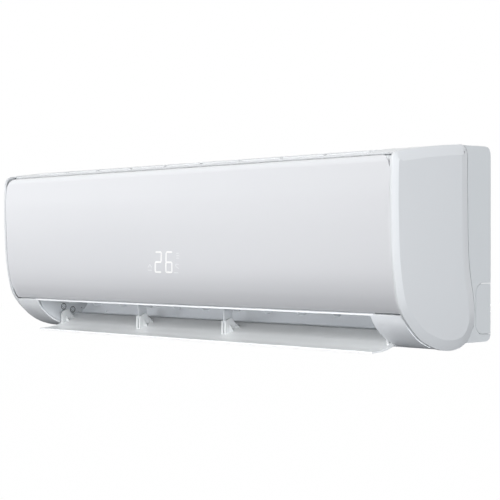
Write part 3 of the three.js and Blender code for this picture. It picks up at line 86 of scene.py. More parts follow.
def smooth_line(points: Sequence[Pair], spans: int) -> list[Pair]:
    """A smooth curve through given points, as many spans between each two.

    Args:
        points: Points that the curve goes through.
        spans: Number of spans between two of them.

    Returns:
        The curve's points.
    """
    line = []
    last = len(points) - 1
    for i in range(last):
        p = [points[max(i - 1, 0)], points[i], points[i + 1], points[min(i + 2, last)]]
        for step in range(spans + (i == last - 1)):
            t = step / spans
            line.append(tuple(
                0.5 * (2 * p[1][k] + (p[2][k] - p[0][k]) * t
                       + (2 * p[0][k] - 5 * p[1][k] + 4 * p[2][k] - p[3][k]) * t * t
                       + (3 * p[1][k] - p[0][k] - 3 * p[2][k] + p[3][k]) * t ** 3) for k in (0, 1)))
    return line


def beside(line: Sequence[Pair], distance: float) -> list[Pair]:
    """An open line moved sideways, to the left of its run.

    Args:
        line: The line's points.
        distance: How far it moves.

    Returns:
        The moved line.
    """
    moved = []
    for i, (a, b) in enumerate(line):
        before = line[max(i - 1, 0)]
        after = line[min(i + 1, len(line) - 1)]
        run = (after[0] - before[0], after[1] - before[1])
        length = math.hypot(*run)
        moved.append((a - run[1] / length * distance, b + run[0] / length * distance))
    return moved


def place(x: float, y: float, z: float) -> Spot:
    """A point in the frame, in metres, from millimetres above the chassis's underside."""
    return x * MM, y * MM, (z - DATUM) * MM


# ============================ Meshes ============================


def linked(name: str, data: bpy.types.ID) -> bpy.types.Object:
    """Makes an object of some data and puts it in the scene.

    Args:
        name: The object's name.
        data: Its mesh, camera or lamp.

    Returns:
        The object.
    """
    obj = bpy.data.objects.new(name, data)
    bpy.context.scene.collection.objects.link(obj)
    return obj


class Shape:
    """A mesh under construction, in millimetres above the chassis's underside."""

    def __init__(self) -> None:
        """Starts with nothing in it."""
        self.mesh = bmesh.new()

    def loft(self, rings: Sequence[Ring], caps: bool = True) -> "Shape":
        """Adds a skin over closed rings of the same number of points.

        Args:
            rings: The rings, in order.
            caps: Whether the first and last rings are filled.

        Returns:
            This shape.
        """
        rows = [[self.mesh.verts.new(place(*point)) for point in ring] for ring in rings]
        for one, two in zip(rows, rows[1:]):
            for i in range(len(one)):
                j = (i + 1) % len(one)
                self.mesh.faces.new((one[i], one[j], two[j], two[i]))
        if caps:
            self.mesh.faces.new(rows[0])
            self.mesh.faces.new(rows[-1])
        return self

    def along_x(self, outline: Sequence[Pair], x0: float, x1: float) -> "Shape":
        """Adds a prism of an outline in (Y, Z) between two places along X."""
        return self.loft([[(x, y, z) for y, z in outline] for x in (x0, x1)])

    def round_bar(self, start: Sequence[float], end: Sequence[float], radius: float,
                  sides: int = 20) -> "Shape":
        """Adds a cylinder between two points.

        Args:
            start: Middle of one end.
            end: Middle of the other end.
            radius: Its radius.
            sides: Number of sides.

        Returns:
            This shape.
        """
        along = Vector(end) - Vector(start)
        turn = along.to_track_quat("Z", "Y").to_matrix()
        rings = []
        for middle in (start, end):
            ring = []
            for i in range(sides):
                angle = 2 * math.pi * i / sides
                offset = turn @ Vector((radius * math.cos(angle), radius * math.sin(angle), 0))
                ring.append(tuple(Vector(middle) + offset))
            rings.append(ring)
        return self.loft(rings)

    def piece(self, name: str) -> bpy.types.Object:
        """Closes the mesh, turns its faces outwards and makes an object of it.

        Args:
            name: The object's name.

        Returns:
            The object.
        """
        bmesh.ops.remove_doubles(self.mesh, verts=self.mesh.verts, dist=MADE_MERGE)
        bmesh.ops.recalc_face_normals(self.mesh, faces=self.mesh.faces)
        data = bpy.data.meshes.new(name)
        self.mesh.to_mesh(data)
        self.mesh.free()
        return linked(name, data)


def baked(obj: bpy.types.Object) -> bpy.types.Object:
    """Turns an object's modifiers into its plain mesh.

    Args:
        obj: The object, with its modifiers.

    Returns:
        The same object, without modifiers.
    """
    bpy.context.view_layer.update()
    graph = bpy.context.evaluated_depsgraph_get()
    data = bpy.data.meshes.new_from_object(obj.evaluated_get(graph), depsgraph=graph)
    data.name = obj.name
    obj.modifiers.clear()
    obj.data = data
    return obj


def rounded(obj: bpy.types.Object, radius: float, segments: int = 2, angle: float = 32.0,
            smooth: float = 38.0) -> bpy.types.Object:
    """Gives an object the small round edges of a moulding, and smooth shading between them.

    Args:
        obj: The object.
        radius: Edge radius in millimetres, 0 for sharp edges.
        segments: Faces across an edge.
        angle: Edges sharper than this many degrees are rounded.
        smooth: Edges flatter than this many degrees are shaded smooth.

    Returns:
        The same object, with a plain mesh.
    """
    if radius > 0:
        bevel = obj.modifiers.new("edges", "BEVEL")
        bevel.width = radius * MM
        bevel.segments = segments
        bevel.limit_method = "ANGLE"
        bevel.angle_limit = math.radians(angle)
        bevel.use_clamp_overlap = True
        baked(obj)
    obj.data.polygons.foreach_set("use_smooth", [True] * len(obj.data.polygons))
    obj.data.set_sharp_from_angle(angle=math.radians(smooth))
    weigh = obj.modifiers.new("flat faces stay flat", "WEIGHTED_NORMAL")
    weigh.keep_sharp = True
    weigh.weight = 90
    return baked(obj)


def moulded_copy(node: str) -> bpy.types.Object:
    """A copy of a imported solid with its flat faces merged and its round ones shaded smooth.

    Args:
        node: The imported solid's name.

    Returns:
        The copy, as a piece of its own.
    """
    name = f"{node}_moulded"
    work = bmesh.new()
    work.from_mesh(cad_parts[node].data)
    bmesh.ops.remove_doubles(work, verts=work.verts, dist=PACKED_MERGE)
    bmesh.ops.dissolve_limit(work, angle_limit=math.radians(FLAT_ANGLE), verts=work.verts,
                             edges=work.edges)
    data = bpy.data.meshes.new(name)
    work.to_mesh(data)
    work.free()
    return rounded(linked(name, data), 0)


# ============================ Node trees ============================


def blank(store: bpy.types.bpy_prop_collection, name: str) -> bpy.types.ID:
    """A new material or world whose node tree is empty.

    Args:
        store: Where Blender keeps its kind.
        name: Its name.

    Returns:
        The material or world.
    """
    made = store.new(name)
    made.use_nodes = True
    made.node_tree.nodes.clear()
    return made


def put(tree: bpy.types.NodeTree, kind: str, inputs: dict | None = None,
        **settings: object) -> bpy.types.Node:
    """Adds a node with its settings, values and links.

    Args:
        tree: The tree that it goes into.
        kind: The node's type.
        inputs: Socket name or number to a value, or to the output that feeds it.
        settings: Properties of the node itself.

    Returns:
        The new node.
    """
    node = tree.nodes.new(kind)
    for key, value in settings.items():
        setattr(node, key, value)
    for key, value in (inputs or {}).items():
        if isinstance(value, bpy.types.NodeSocket):
            tree.links.new(value, node.inputs[key])
        else:
            node.inputs[key].default_value = value
    return node


def linear(colour: str) -> tuple[float, float, float, float]:
    """An sRGB hex colour as linear light, with full alpha."""
    parts = [int(colour[i:i + 2], 16) / 255 for i in (1, 3, 5)]
    return *(p / 12.92 if p <= 0.04045 else ((p + 0.055) / 1.055) ** 2.4 for p in parts), 1.0


# Width of a finish's wide clouds in millimetres, and how far they change its roughness.
CLOUD_SIZE = 140
ROUGH_SPREAD = 0.12
COAT_ROUGHNESS = 0.12
BUMP_STRENGTH = 0.6
WHITE = (1, 1, 1, 1)
BLACK = (0, 0, 0, 1)


class Surface(Enum):
    """How a finish's surface was made."""

    MOULDED = "moulded plastic"
    SPANGLED = "hot-dip galvanised sheet"
    DRAWN = "drawn tube"
    TURNED = "turned or rolled metal"
    NET = "fine plastic net"
    BOARD = "printed circuit board"


@dataclass(frozen=True)
class Finish:
    """One real material and the way its surface was made.

    Attributes:
        name: Name of the material.
        slot: The record's material slot; not used.
        colour: sRGB colour of its lit surface.
        shade: sRGB colour of its darker patches.
        roughness: Mean roughness.
        surface: How the surface was made.
        metallic: 1 for bare metal.
        grain: Size of the surface's grain in millimetres.
        relief: Height of that grain in millimetres.
        coat: Weight of a clear coat.
        ior: Index of refraction.
    """

    name: str
    slot: str
    colour: str
    shade: str
    roughness: float
    surface: Surface = Surface.MOULDED
    metallic: float = 0.0
    grain: float = 0.8
    relief: float = 0.01
    coat: float = 0.0
    ior: float = 1.5

    def material(self) -> bpy.types.Material:
        """Builds the material, or gives the one already built."""
        known = bpy.data.materials.get(self.name)
        if known:
            return known
        made = blank(bpy.data.materials, self.name)
        tree = made.node_tree
        spot = put(tree, "ShaderNodeTexCoord").outputs["Object"]
        pattern = self._pattern(tree, spot)
        # Wide, faint clouds: a large moulding never cools evenly, and a sheet is never quite clean.
        clouds = put(tree, "ShaderNodeTexNoise", {
            "Vector": spot, "Scale": 1 / (CLOUD_SIZE * MM), "Detail": 2.0}).outputs["Fac"]
        share = put(tree, "ShaderNodeMath", {0: pattern, 1: clouds}, operation="MULTIPLY")
        # A Mix node's colour sockets share their names with its other types, so they are set by
        # place.
        colour = put(tree, "ShaderNodeMix", {
            0: share.outputs[0], 6: linear(self.colour), 7: linear(self.shade)}, data_type="RGBA")
        rough = put(tree, "ShaderNodeMapRange", {
            "Value": clouds, "To Min": self.roughness * (1 - ROUGH_SPREAD),
            "To Max": self.roughness * (1 + ROUGH_SPREAD)})
        bump = put(tree, "ShaderNodeBump", {
            "Height": pattern, "Distance": self.relief * MM, "Strength": BUMP_STRENGTH})
        shader = put(tree, "ShaderNodeBsdfPrincipled", {
            "Base Color": colour.outputs[2], "Roughness": rough.outputs[0],
            "Normal": bump.outputs[0], "Metallic": self.metallic, "IOR": self.ior,
            "Coat Weight": self.coat, "Coat Roughness": COAT_ROUGHNESS})
        put(tree, "ShaderNodeOutputMaterial", {"Surface": shader.outputs[0]})
        return made

    def _pattern(self, tree: bpy.types.NodeTree,
                 spot: bpy.types.NodeSocket) -> bpy.types.NodeSocket:
        """Adds the fine pattern of the surface.

        Args:
            tree: The material's tree.
            spot: Place on the object, in metres.

        Returns:
            The pattern as a number from 0 to 1.
        """
        per_grain = 1000 / self.grain
        if self.surface is Surface.SPANGLED:
            # Zinc freezes in flat crystals, each of its own brightness.
            cells = put(tree, "ShaderNodeTexVoronoi", {
                "Vector": spot, "Scale": per_grain, "Randomness": 1.0})
            return put(tree, "ShaderNodeSeparateColor", {0: cells.outputs["Color"]}).outputs[0]
        if self.surface is Surface.DRAWN:
            # Drawing leaves fine streaks along the tube, which mostly runs along X.
            streaks = put(tree, "ShaderNodeMapping", {"Vector": spot, "Scale": (0.03, 1.0, 1.0)})
            return put(tree, "ShaderNodeTexNoise", {
                "Vector": streaks.outputs[0], "Scale": per_grain}).outputs["Fac"]
        if self.surface is Surface.NET:
            # Two sets of threads, far finer in truth, drawn as coarse as they need to be to show.
            waves = [put(tree, "ShaderNodeTexWave", {
                "Vector": spot, "Scale": per_grain / 20, "Distortion": 0.0},
                bands_direction=axis).outputs["Fac"] for axis in ("X", "Z")]
            return put(tree, "ShaderNodeMath", {0: waves[0], 1: waves[1]},
                       operation="MAXIMUM").outputs[0]
        if self.surface is Surface.BOARD:
            return put(tree, "ShaderNodeTexBrick", {
                "Vector": spot, "Scale": per_grain, "Color1": BLACK, "Color2": (0.6, 0.6, 0.6, 1),
                "Mortar": WHITE}).outputs["Fac"]
        # Spark-eroded moulds and rolled metal both leave a fine even grain.
        return put(tree, "ShaderNodeTexNoise", {
            "Vector": spot, "Scale": per_grain, "Detail": 3.0}).outputs["Fac"]


# Pearl-coated ABS: high gloss, a cool white with a trace of blue, almost no grain.
PEARL = Finish("pearl_abs", "panel_pearl", "#f1f2f4", "#ebecef", 0.2, grain=0.5, relief=0.002,
               coat=0.35)
# Plain ABS from a polished mould: a satin, neutral white.
FRAME_ABS = Finish("white_abs", "frame_white", "#eef0f1", "#e7e9ea", 0.36, relief=0.004)
GRILLE_ABS = Finish("grille_abs", "grille_white", "#eef0f1", "#e7e9ea", 0.4, relief=0.004)
# The end covers are painted: a soft silvery grey-white with a satin sheen.
COVER_PAINT = Finish("cover_paint", "cover_white", "#e4e6e7", "#dee0e2", 0.34, relief=0.003,
                     coat=0.15)
# Unpainted high-impact polystyrene of the back moulding, with a fine spark-eroded grain.
CHASSIS_HIPS = Finish("chassis_hips", "chassis_grey", "#e0e3e4", "#d9dcdd", 0.45, grain=0.7,
                      relief=0.02)
VANE_ABS = Finish("vane_abs", "vane_white", "#eff1f1", "#e9ebec", 0.3, relief=0.003)
DUCT_HIPS = Finish("duct_hips", "duct_grey", "#e6e9ec", "#dee2e6", 0.5, relief=0.01)
GALVANISED = Finish("galvanised_sheet", "galvanised", "#c3c7c9", "#a3a8ac", 0.38,
                    Surface.SPANGLED, metallic=1.0, grain=9.0, relief=0.004)
ZINC = Finish("zinc_plate", "screw_steel", "#b7bbbd", "#9ca1a4", 0.3,
              Surface.TURNED, metallic=1.0, grain=0.6, relief=0.004)
RESIN = Finish("motor_resin", "motor_casing", "#dcdcd4", "#cfcfc6", 0.55, grain=1.2, relief=0.03)
FIN_ALU = Finish("fin_aluminium", "fins", "#cfd3d6", "#b9bec2", 0.35,
                 Surface.TURNED, metallic=1.0, grain=0.9, relief=0.004)
COPPER = Finish("copper_tube", "copper", "#c57a50", "#8f5233", 0.3,
                Surface.DRAWN, metallic=1.0, relief=0.006)
BRASS = Finish("machined_brass", "brass", "#cfae5e", "#b08d42", 0.28,
               Surface.TURNED, metallic=1.0, grain=0.5, relief=0.004)
FAN_ABS = Finish("fan_plastic", "fan_black", "#2a2c2f", "#1f2124", 0.5, grain=0.6)
RUBBER = Finish("black_rubber", "rubber", "#2c2c2e", "#232325", 0.8, grain=0.9, relief=0.02,
                ior=1.52)
BOARD = Finish("board_laminate", "board_green", "#2f6b45", "#24553a", 0.4,
               Surface.BOARD, grain=40.0, relief=0.03)
NET = Finish("filter_net", "filter_grey", "#97a0a8", "#5d656d", 0.6,
             Surface.NET, grain=2.4, relief=0.2)
NET_FRAME = Finish("filter_frame_plastic", "filter_grey", "#aab1b7", "#9fa6ad", 0.5, grain=0.7)
BOX_PLASTIC = Finish("box_plastic", "box_white", "#dfe1de", "#d5d8d5", 0.5, relief=0.02)
# Painted shade: near-black rings, dots and plugs put in the end wall's grooves and holes, where
# only shade falls.
SHADOW = Finish("pin_hole_shadow", "fan_black", "#34373b", "#2c2f33", 0.9)


def finish_piece(obj: bpy.types.Object, finish: Finish, body: str, *nodes: str) -> None:
    """Dresses a piece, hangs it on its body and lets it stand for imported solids.

    Args:
        obj: The piece.
        finish: Its finish.
        body: The body that it rides on.
        nodes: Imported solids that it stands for.
    """
    obj.data.materials.clear()
    obj.data.materials.append(finish.material())
    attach(obj, body)
    if nodes:
        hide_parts(*nodes)
    LOG.info("%s: %d faces on %s", obj.name, len(obj.data.polygons), body)


# ============================ Repeats, as node trees ============================


class Layout(Enum):
    """How a repeated piece is laid out."""

    ROW = "row"
    RING = "ring"
    PATH = "path"


@dataclass(frozen=True)
class Repeat:
    """A node tree that repeats one mesh, and gives plain geometry with its material.

    Attributes:
        layout: The way that the copies are laid out.
        count: Number of copies, or for a path its length divided by the pitch.
        step: Step between two copies in a row, or the axis's place for a ring, in millimetres.
        wander: Largest random shift of a copy, in millimetres.
        seed: Seed of that shift.
    """

    layout: Layout
    count: int
    step: Spot = (0.0, 0.0, 0.0)
    wander: float = 0.0
    seed: int = 1

    def tree(self) -> bpy.types.NodeTree:
        """Builds the tree of this layout, or gives the one already built."""
        name = f"repeat_{self.layout.value}"
        known = bpy.data.node_groups.get(name)
        if known:
            return known
        tree = bpy.data.node_groups.new(name, "GeometryNodeTree")
        face = tree.interface
        face.new_socket("Geometry", in_out="OUTPUT", socket_type="NodeSocketGeometry")
        face.new_socket("Geometry", in_out="INPUT", socket_type="NodeSocketGeometry")
        for title, kind in (("Count", "Int"), ("Step", "Vector"), ("Wander", "Float"),
                            ("Seed", "Int"), ("Material", "Material"), ("Path", "Object")):
            face.new_socket(title, in_out="INPUT", socket_type=f"NodeSocket{kind}")
        given = put(tree, "NodeGroupInput").outputs
        points, turn, shift = self._points(tree, given)
        random = put(tree, "FunctionNodeRandomValue", {"Seed": given["Seed"]},
                     data_type="FLOAT_VECTOR")
        random.inputs["Min"].default_value = (-1, -1, -1)
        random.inputs["Max"].default_value = (1, 1, 1)
        stray = put(tree, "ShaderNodeVectorMath", {
            0: random.outputs["Value"], "Scale": given["Wander"]}, operation="SCALE")
        spread = put(tree, "GeometryNodeSetPosition", {
            "Geometry": points, "Offset": stray.outputs[0]})
        copies = put(tree, "GeometryNodeInstanceOnPoints", {
            "Points": spread.outputs[0], "Instance": given["Geometry"]})
        if turn:
            tree.links.new(turn, copies.inputs["Rotation"])
        real = put(tree, "GeometryNodeRealizeInstances", {0: copies.outputs[0]}).outputs[0]
        if shift:
            real = put(tree, "GeometryNodeTransform", {
                "Geometry": real, "Translation": shift}).outputs[0]
        dressed = put(tree, "GeometryNodeSetMaterial", {
            "Geometry": real, "Material": given["Material"]})
        put(tree, "NodeGroupOutput", {0: dressed.outputs[0]})
        return tree

    def _points(self, tree: bpy.types.NodeTree,
                given: bpy.types.NodeOutputs) -> tuple[bpy.types.NodeSocket | None, ...]:
        """Adds the points that the copies stand on.

        Args:
            tree: The tree.
            given: The tree's inputs.

        Returns:
            The points, the copies' rotation or None, and the whole's shift or None.
        """
        if self.layout is Layout.ROW:
            line = put(tree, "GeometryNodeMeshLine", {
                "Count": given["Count"], "Offset": given["Step"]}, mode="OFFSET")
            return line.outputs[0], None, None
        if self.layout is Layout.RING:
            line = put(tree, "GeometryNodeMeshLine", {
                "Count": given["Count"], "Offset": (0, 0, 0)}, mode="OFFSET")
            number = put(tree, "GeometryNodeInputIndex").outputs[0]
            share = put(tree, "ShaderNodeMath", {0: number, 1: given["Count"]},
                        operation="DIVIDE")
            angle = put(tree, "ShaderNodeMath", {0: share.outputs[0], 1: 2 * math.pi},
                        operation="MULTIPLY")
            turn = put(tree, "ShaderNodeCombineXYZ", {"X": angle.outputs[0]})
            return line.outputs[0], turn.outputs[0], given["Step"]
        path = put(tree, "GeometryNodeObjectInfo", {"Object": given["Path"]},
                   transform_space="RELATIVE")
        curve = put(tree, "GeometryNodeMeshToCurve", {0: path.outputs["Geometry"]})
        even = put(tree, "GeometryNodeResampleCurve", {
            "Curve": curve.outputs[0], "Count": given["Count"]})
        return even.outputs[0], None, None

    def apply(self, obj: bpy.types.Object, finish: Finish,
              path: bpy.types.Object | None = None) -> bpy.types.Object:
        """Repeats an object's mesh and makes the result its plain mesh.

        Args:
            obj: The object, with one copy as its mesh.
            finish: Finish of all copies.
            path: The line that the copies follow, for a path.

        Returns:
            The same object.
        """
        made = obj.modifiers.new("repeat", "NODES")
        made.node_group = self.tree()
        values = {"Count": self.count, "Step": tuple(v * MM for v in self.step),
                  "Wander": self.wander * MM, "Seed": self.seed, "Material": finish.material(),
                  "Path": path}
        if self.layout is Layout.RING:
            values["Step"] = place(*self.step)
        for item in made.node_group.interface.items_tree:
            if item.in_out == "INPUT" and item.name in values and values[item.name] is not None:
                made[item.identifier] = values[item.name]
        return baked(obj)


# ============================ The unit's cross-section ============================


@dataclass(frozen=True)
class Section:
    """Lines of the unit's cross-section, each as (Y, Z) points.

    Attributes:
        panel_setback: Panel's foremost line behind the side covers'.
        panel_top: Height of the panel's top edge.
        skin: Wall of the moulded casings.
        panel_head: Bend of the panel's top edge: behind its foremost line, above its top.
        panel_face: Panel's face from there down: behind its foremost line, height.
        vane_face: Vane's outer face: behind the unit's front, height.
        cover_back: Side cover's back edge, from its top down.
        cover_low: Its lower and front edge up to the top bend: behind the front, height.
        top_front: Where the top begins.
        top_back: Where it ends.
        front_bend: The point that the front bends towards on its way to the top.
        crown: The point that the top bends towards.
        back_bend: The point that the top bends towards on its way to the back edge.
    """

    panel_setback: float = 0.6
    panel_top: float = 241.5
    skin: float = 2.5
    panel_head: tuple[Pair, ...] = ((10.5, 0), (3.4, -1), (2, -9.5))
    panel_face: tuple[Pair, ...] = ((1.5, 224), (0.4, 206), (0, 190), (1.5, 150), (4, 108),
                                    (7.1, 84), (12.1, 66), (18.4, 52.5), (24.6, 42.6))
    vane_face: tuple[Pair, ...] = ((31.5, -10.6), (55, -8.8), (71, -4.6), (84, 1.6), (107, 12.6))
    cover_back: tuple[Pair, ...] = ((-52.3, 246), (-52, 184), (-48.8, 106), (-39.7, 62.1),
                                    (-36.7, 32))
    cover_low: tuple[Pair, ...] = ((163.8, 12.4), (150.3, -0.4), (131.7, -6.9), (109.5, -7.9),
                                   (83.6, -2.9), (52.4, 11.7), (22.6, 40.2), (10.9, 66),
                                   (3.6, 108), (1, 150), (0, 190), (0.9, 229))
    top_front: Pair = (FRONT + 14.5, 246)
    top_back: Pair = (-68, HEIGHT - 0.2)
    front_bend: Pair = (FRONT + 1.5, 244.5)
    crown: Pair = (-135, 255.5)
    back_bend: Pair = (-54, HEIGHT + 0.6)

    def panel(self, steps: int = 6) -> list[Pair]:
        """Panel's outer face, from its top edge down.

        Args:
            steps: Number of spans between two of its given points.

        Returns:
            The face's line.
        """
        front = FRONT + self.panel_setback
        head = [(front + back, self.panel_top + rise) for back, rise in self.panel_head]
        face = [(front + back, z) for back, z in self.panel_face]
        return bezier(*head, steps=16) + smooth_line(face, steps)

    def top(self, steps: int) -> list[Pair]:
        """Top of the covers and the grille, from the front to the back."""
        return bezier(self.top_front, self.crown, self.top_back, steps)

    def cover(self) -> list[Pair]:
        """Side cover's rim, closed, anticlockwise seen from +X."""
        low = [(FRONT + back, z) for back, z in self.cover_low]
        line = bezier(low[-1], self.front_bend, self.top_front, 12)
        line += self.top(24)[1:]
        line += bezier(self.top_back, self.back_bend, self.cover_back[0], 10)[1:-1]
        line += smooth_line([*self.cover_back, *low], 7)[:-1]
        return line[::-1]

    def vane(self) -> list[Pair]:
        """Vane's outer face, from its front tip to its back edge."""
        return smooth_line([(FRONT + back, z) for back, z in self.vane_face], 8)

    def panel_y(self, z: float) -> float:
        """Place of the panel's outer face at a height.

        Args:
            z: The height.

        Returns:
            Its Y there.
        """
        line = self.panel()
        for one, two in zip(line, line[1:]):
            if two[1] <= z <= one[1]:
                share = (one[1] - z) / max(one[1] - two[1], 1e-6)
                return one[0] + (two[0] - one[0]) * share
        return line[-1][0]


def drawn_in(outline: Sequence[Pair], front: float, back: float, top: float,
             bottom: float) -> list[Pair]:
    """A closed outline drawn in by its own amount on each side.

    Args:
        outline: The outline, anticlockwise.
        front: Amount where it faces the room.
        back: Amount where it faces the wall.
        top: Amount where it faces up.
        bottom: Amount where it faces down.

    Returns:
        The smaller outline.
    """
    smaller = []
    count = len(outline)
    for i, (a, b) in enumerate(outline):
        before, after = outline[i - 1], outline[(i + 1) % count]
        run = (after[0] - before[0], after[1] - before[1])
        length = math.hypot(*run)
        out = (run[1] / length, -run[0] / length)
        level = front if out[0] < 0 else back
        upright = bottom if out[1] < 0 else top
        depth = out[0] ** 2 * level + out[1] ** 2 * upright
        smaller.append((a - out[0] * depth, b - out[1] * depth))
    return smaller


def circle(middle: Pair, radius: float, sides: int = 24) -> list[Pair]:
    """Points of a circle."""
    return [(middle[0] + radius * math.cos(2 * math.pi * i / sides),
             middle[1] + radius * math.sin(2 * math.pi * i / sides)) for i in range(sides)]


# ============================ Casing ============================


@dataclass
class EndCovers:
    """D-shaped painted covers over both ends, with a rounded two-step bevel.

    Attributes:
        section: The unit's cross-section.
        bevel: Its depth along X.
        strip: Rim seen from the front, beside the panel.
        shoulder: Where the bevel turns, as a part of its run.
        inset: Face's outline inside the rim: front, back, top, bottom.
    """

    section: Section
    bevel: float = 4.7
    strip: float = 3.5
    shoulder: float = 0.45
    inset: tuple[float, float, float, float] = (8, 18, 14, 14)

    def build(self) -> None:
        """Builds both covers."""
        outline = self.section.cover()
        face_x = WIDTH / 2
        rim_x = face_x - self.bevel
        inner_x = rim_x - self.strip
        skin = self.section.skin
        partly = [v * self.shoulder for v in self.inset]
        face = drawn_in(outline, *self.inset)
        inside = drawn_in(outline, skin, skin, skin, skin)
        stations = [
            (face_x, face), (rim_x + self.bevel * (1 - self.shoulder), drawn_in(outline, *partly)),
            (rim_x, outline), (inner_x, outline), (inner_x, inside), (rim_x - skin / 2, inside),
            (face_x - skin, face),
        ]
        for side, name in ((-1, "left"), (1, "right")):
            rings = [[(side * x, y, z) for y, z in ring] for x, ring in stations]
            cover = Shape().loft(rings).piece(f"cover_{name}_painted")
            rounded(cover, radius=0.9, segments=3, angle=11, smooth=50)
            # The rounding may push the face a little past the unit's width.
            for vertex in cover.data.vertices:
                vertex.co.x = min(max(vertex.co.x, -face_x * MM), face_x * MM)
            finish_piece(cover, COVER_PAINT, "chassis", f"side_cover_{name}")


@dataclass
class FrontPanel:
    """Pearl panel with side returns, hung from two arms.

    Attributes:
        section: The unit's cross-section.
        half: Half its width.
        wall: Its wall.
        depth: Depth of its side edges.
        corner: Round of its top corners.
        edge_top: Height at which the side edges run out.
        edge_fade: Height over which they grow to their depth below it.
        spans: Number of faces across it.
        hinge: Place of the hinge's axis.
        arm_x: Distance of the arms from the middle.
        arm_wide: An arm's width.
        eye: Radius of an arm's eye.
        pin: Radius of its pin.
    """

    section: Section
    half: float = 418.5
    wall: float = 2.6
    depth: float = 7.0
    corner: float = 20.0
    edge_top: float = 226.0
    edge_fade: float = 8.0
    spans: int = 24
    hinge: Pair = (FRONT + 14.5, 235.0)
    arm_x: float = 300.0
    arm_wide: float = 4.0
    eye: float = 4.4
    pin: float = 2.5

    def build(self) -> None:
        """Builds the panel and its arms."""
        line = self.section.panel(7)
        normals = beside(line, 1.0)
        rings = []
        for (y, z), (ny, nz) in zip(line, normals):
            rings.append(self._ring(y, z, (ny - y, nz - z)))
        panel = Shape().loft(rings).piece("panel_pearl_face")
        rounded(panel, radius=0.8, segments=3, angle=40, smooth=35)
        finish_piece(panel, PEARL, "panel", "front_panel")
        for side in (-1, 1):
            self._arm(side)

    def _ring(self, y: float, z: float, back: Pair) -> Ring:
        """The panel cut across at one place of its line.

        Args:
            y: Place of the face.
            z: Height of the face.
            back: Direction into the unit, of length 1.

        Returns:
            The cut's points: along the face, round one edge, along the back, round the other.
        """
        round_from = self.section.panel_top - self.corner
        drop = max(z - round_from, 0.0)
        half = self.half - self.corner + math.sqrt(max(self.corner ** 2 - drop ** 2, 0.0))
        grown = min(max((self.edge_top - z) / self.edge_fade, 0.0), 1.0)
        # Its side edges stand a trace deeper than its back, so that no face lies on another.
        reach = self.wall + 0.05 + (self.depth - self.wall) * grown
        edge = (y + back[0] * reach, z + back[1] * reach)
        inside = (y + back[0] * self.wall, z + back[1] * self.wall)
        inner = half - self.wall
        across = [i / self.spans for i in range(self.spans + 1)]
        ring = [(half * (2 * t - 1), y, z) for t in across]
        ring += [(half, *edge), (inner, *edge)]
        ring += [(inner * (1 - 2 * t), *inside) for t in across]
        return [*ring, (-inner, *edge), (-half, *edge)]

    def _arm(self, side: int) -> None:
        """Builds one hinge arm with its pin.

        Args:
            side: -1 for the left one, 1 for the right one.
        """
        y, z = self.hinge
        eye = circle(self.hinge, self.eye, 32)
        # The eye's back half, joined to a foot on the panel's inside.
        outline = [(y - 11, z - 22), (y - 2, z - 10), *eye[26:], *eye[:11], (y - 10.5, z + 1)]
        x = self.arm_x - self.arm_wide / 2
        ends = sorted((side * x, side * (x + self.arm_wide)))
        arm = Shape().along_x(outline, *ends)
        arm.round_bar((side * (x - 1), y, z), (side * (x + 10), y, z), self.pin)
        made = rounded(arm.piece(f"panel_arm_{'right' if side > 0 else 'left'}"), 0.4)
        finish_piece(made, FRAME_ABS, "panel")


@dataclass(frozen=True)
class Glyph:
    """A lit digit made of seven bars, leaning to the right.

    Attributes:
        bars: Which bars are lit, of the letters a to g in the usual order.
        x: Its middle.
    """

    bars: str
    x: float


# Both ends of a digit's bars, as parts of half its width and height from its middle.
DIGIT_BARS = {"a": ((-1, 1), (1, 1)), "b": ((1, 1), (1, 0)), "c": ((1, 0), (1, -1)),
              "d": ((-1, -1), (1, -1)), "e": ((-1, 0), (-1, -1)), "f": ((-1, 1), (-1, 0)),
              "g": ((-1, 0), (1, 0))}
# Strokes of the faint marks beside the digits, as (X, Z) of both ends.
MARK_BARS = (((11, 117.5), (17, 117.5)), ((11.4, 110.5), (17.6, 110.5)), ((11.5, 114), (18, 114)),
             ((10, 101.5), (17.5, 101.5)), ((10, 101), (11.5, 98)), ((11.5, 98), (18, 95)),
             ((-53, 92.2), (-43.5, 92.2)), ((-52.5, 95.8), (-48, 101)),
             ((-48, 101), (-43.5, 95.8)), ((6.5, 89.2), (16.5, 89.2)))


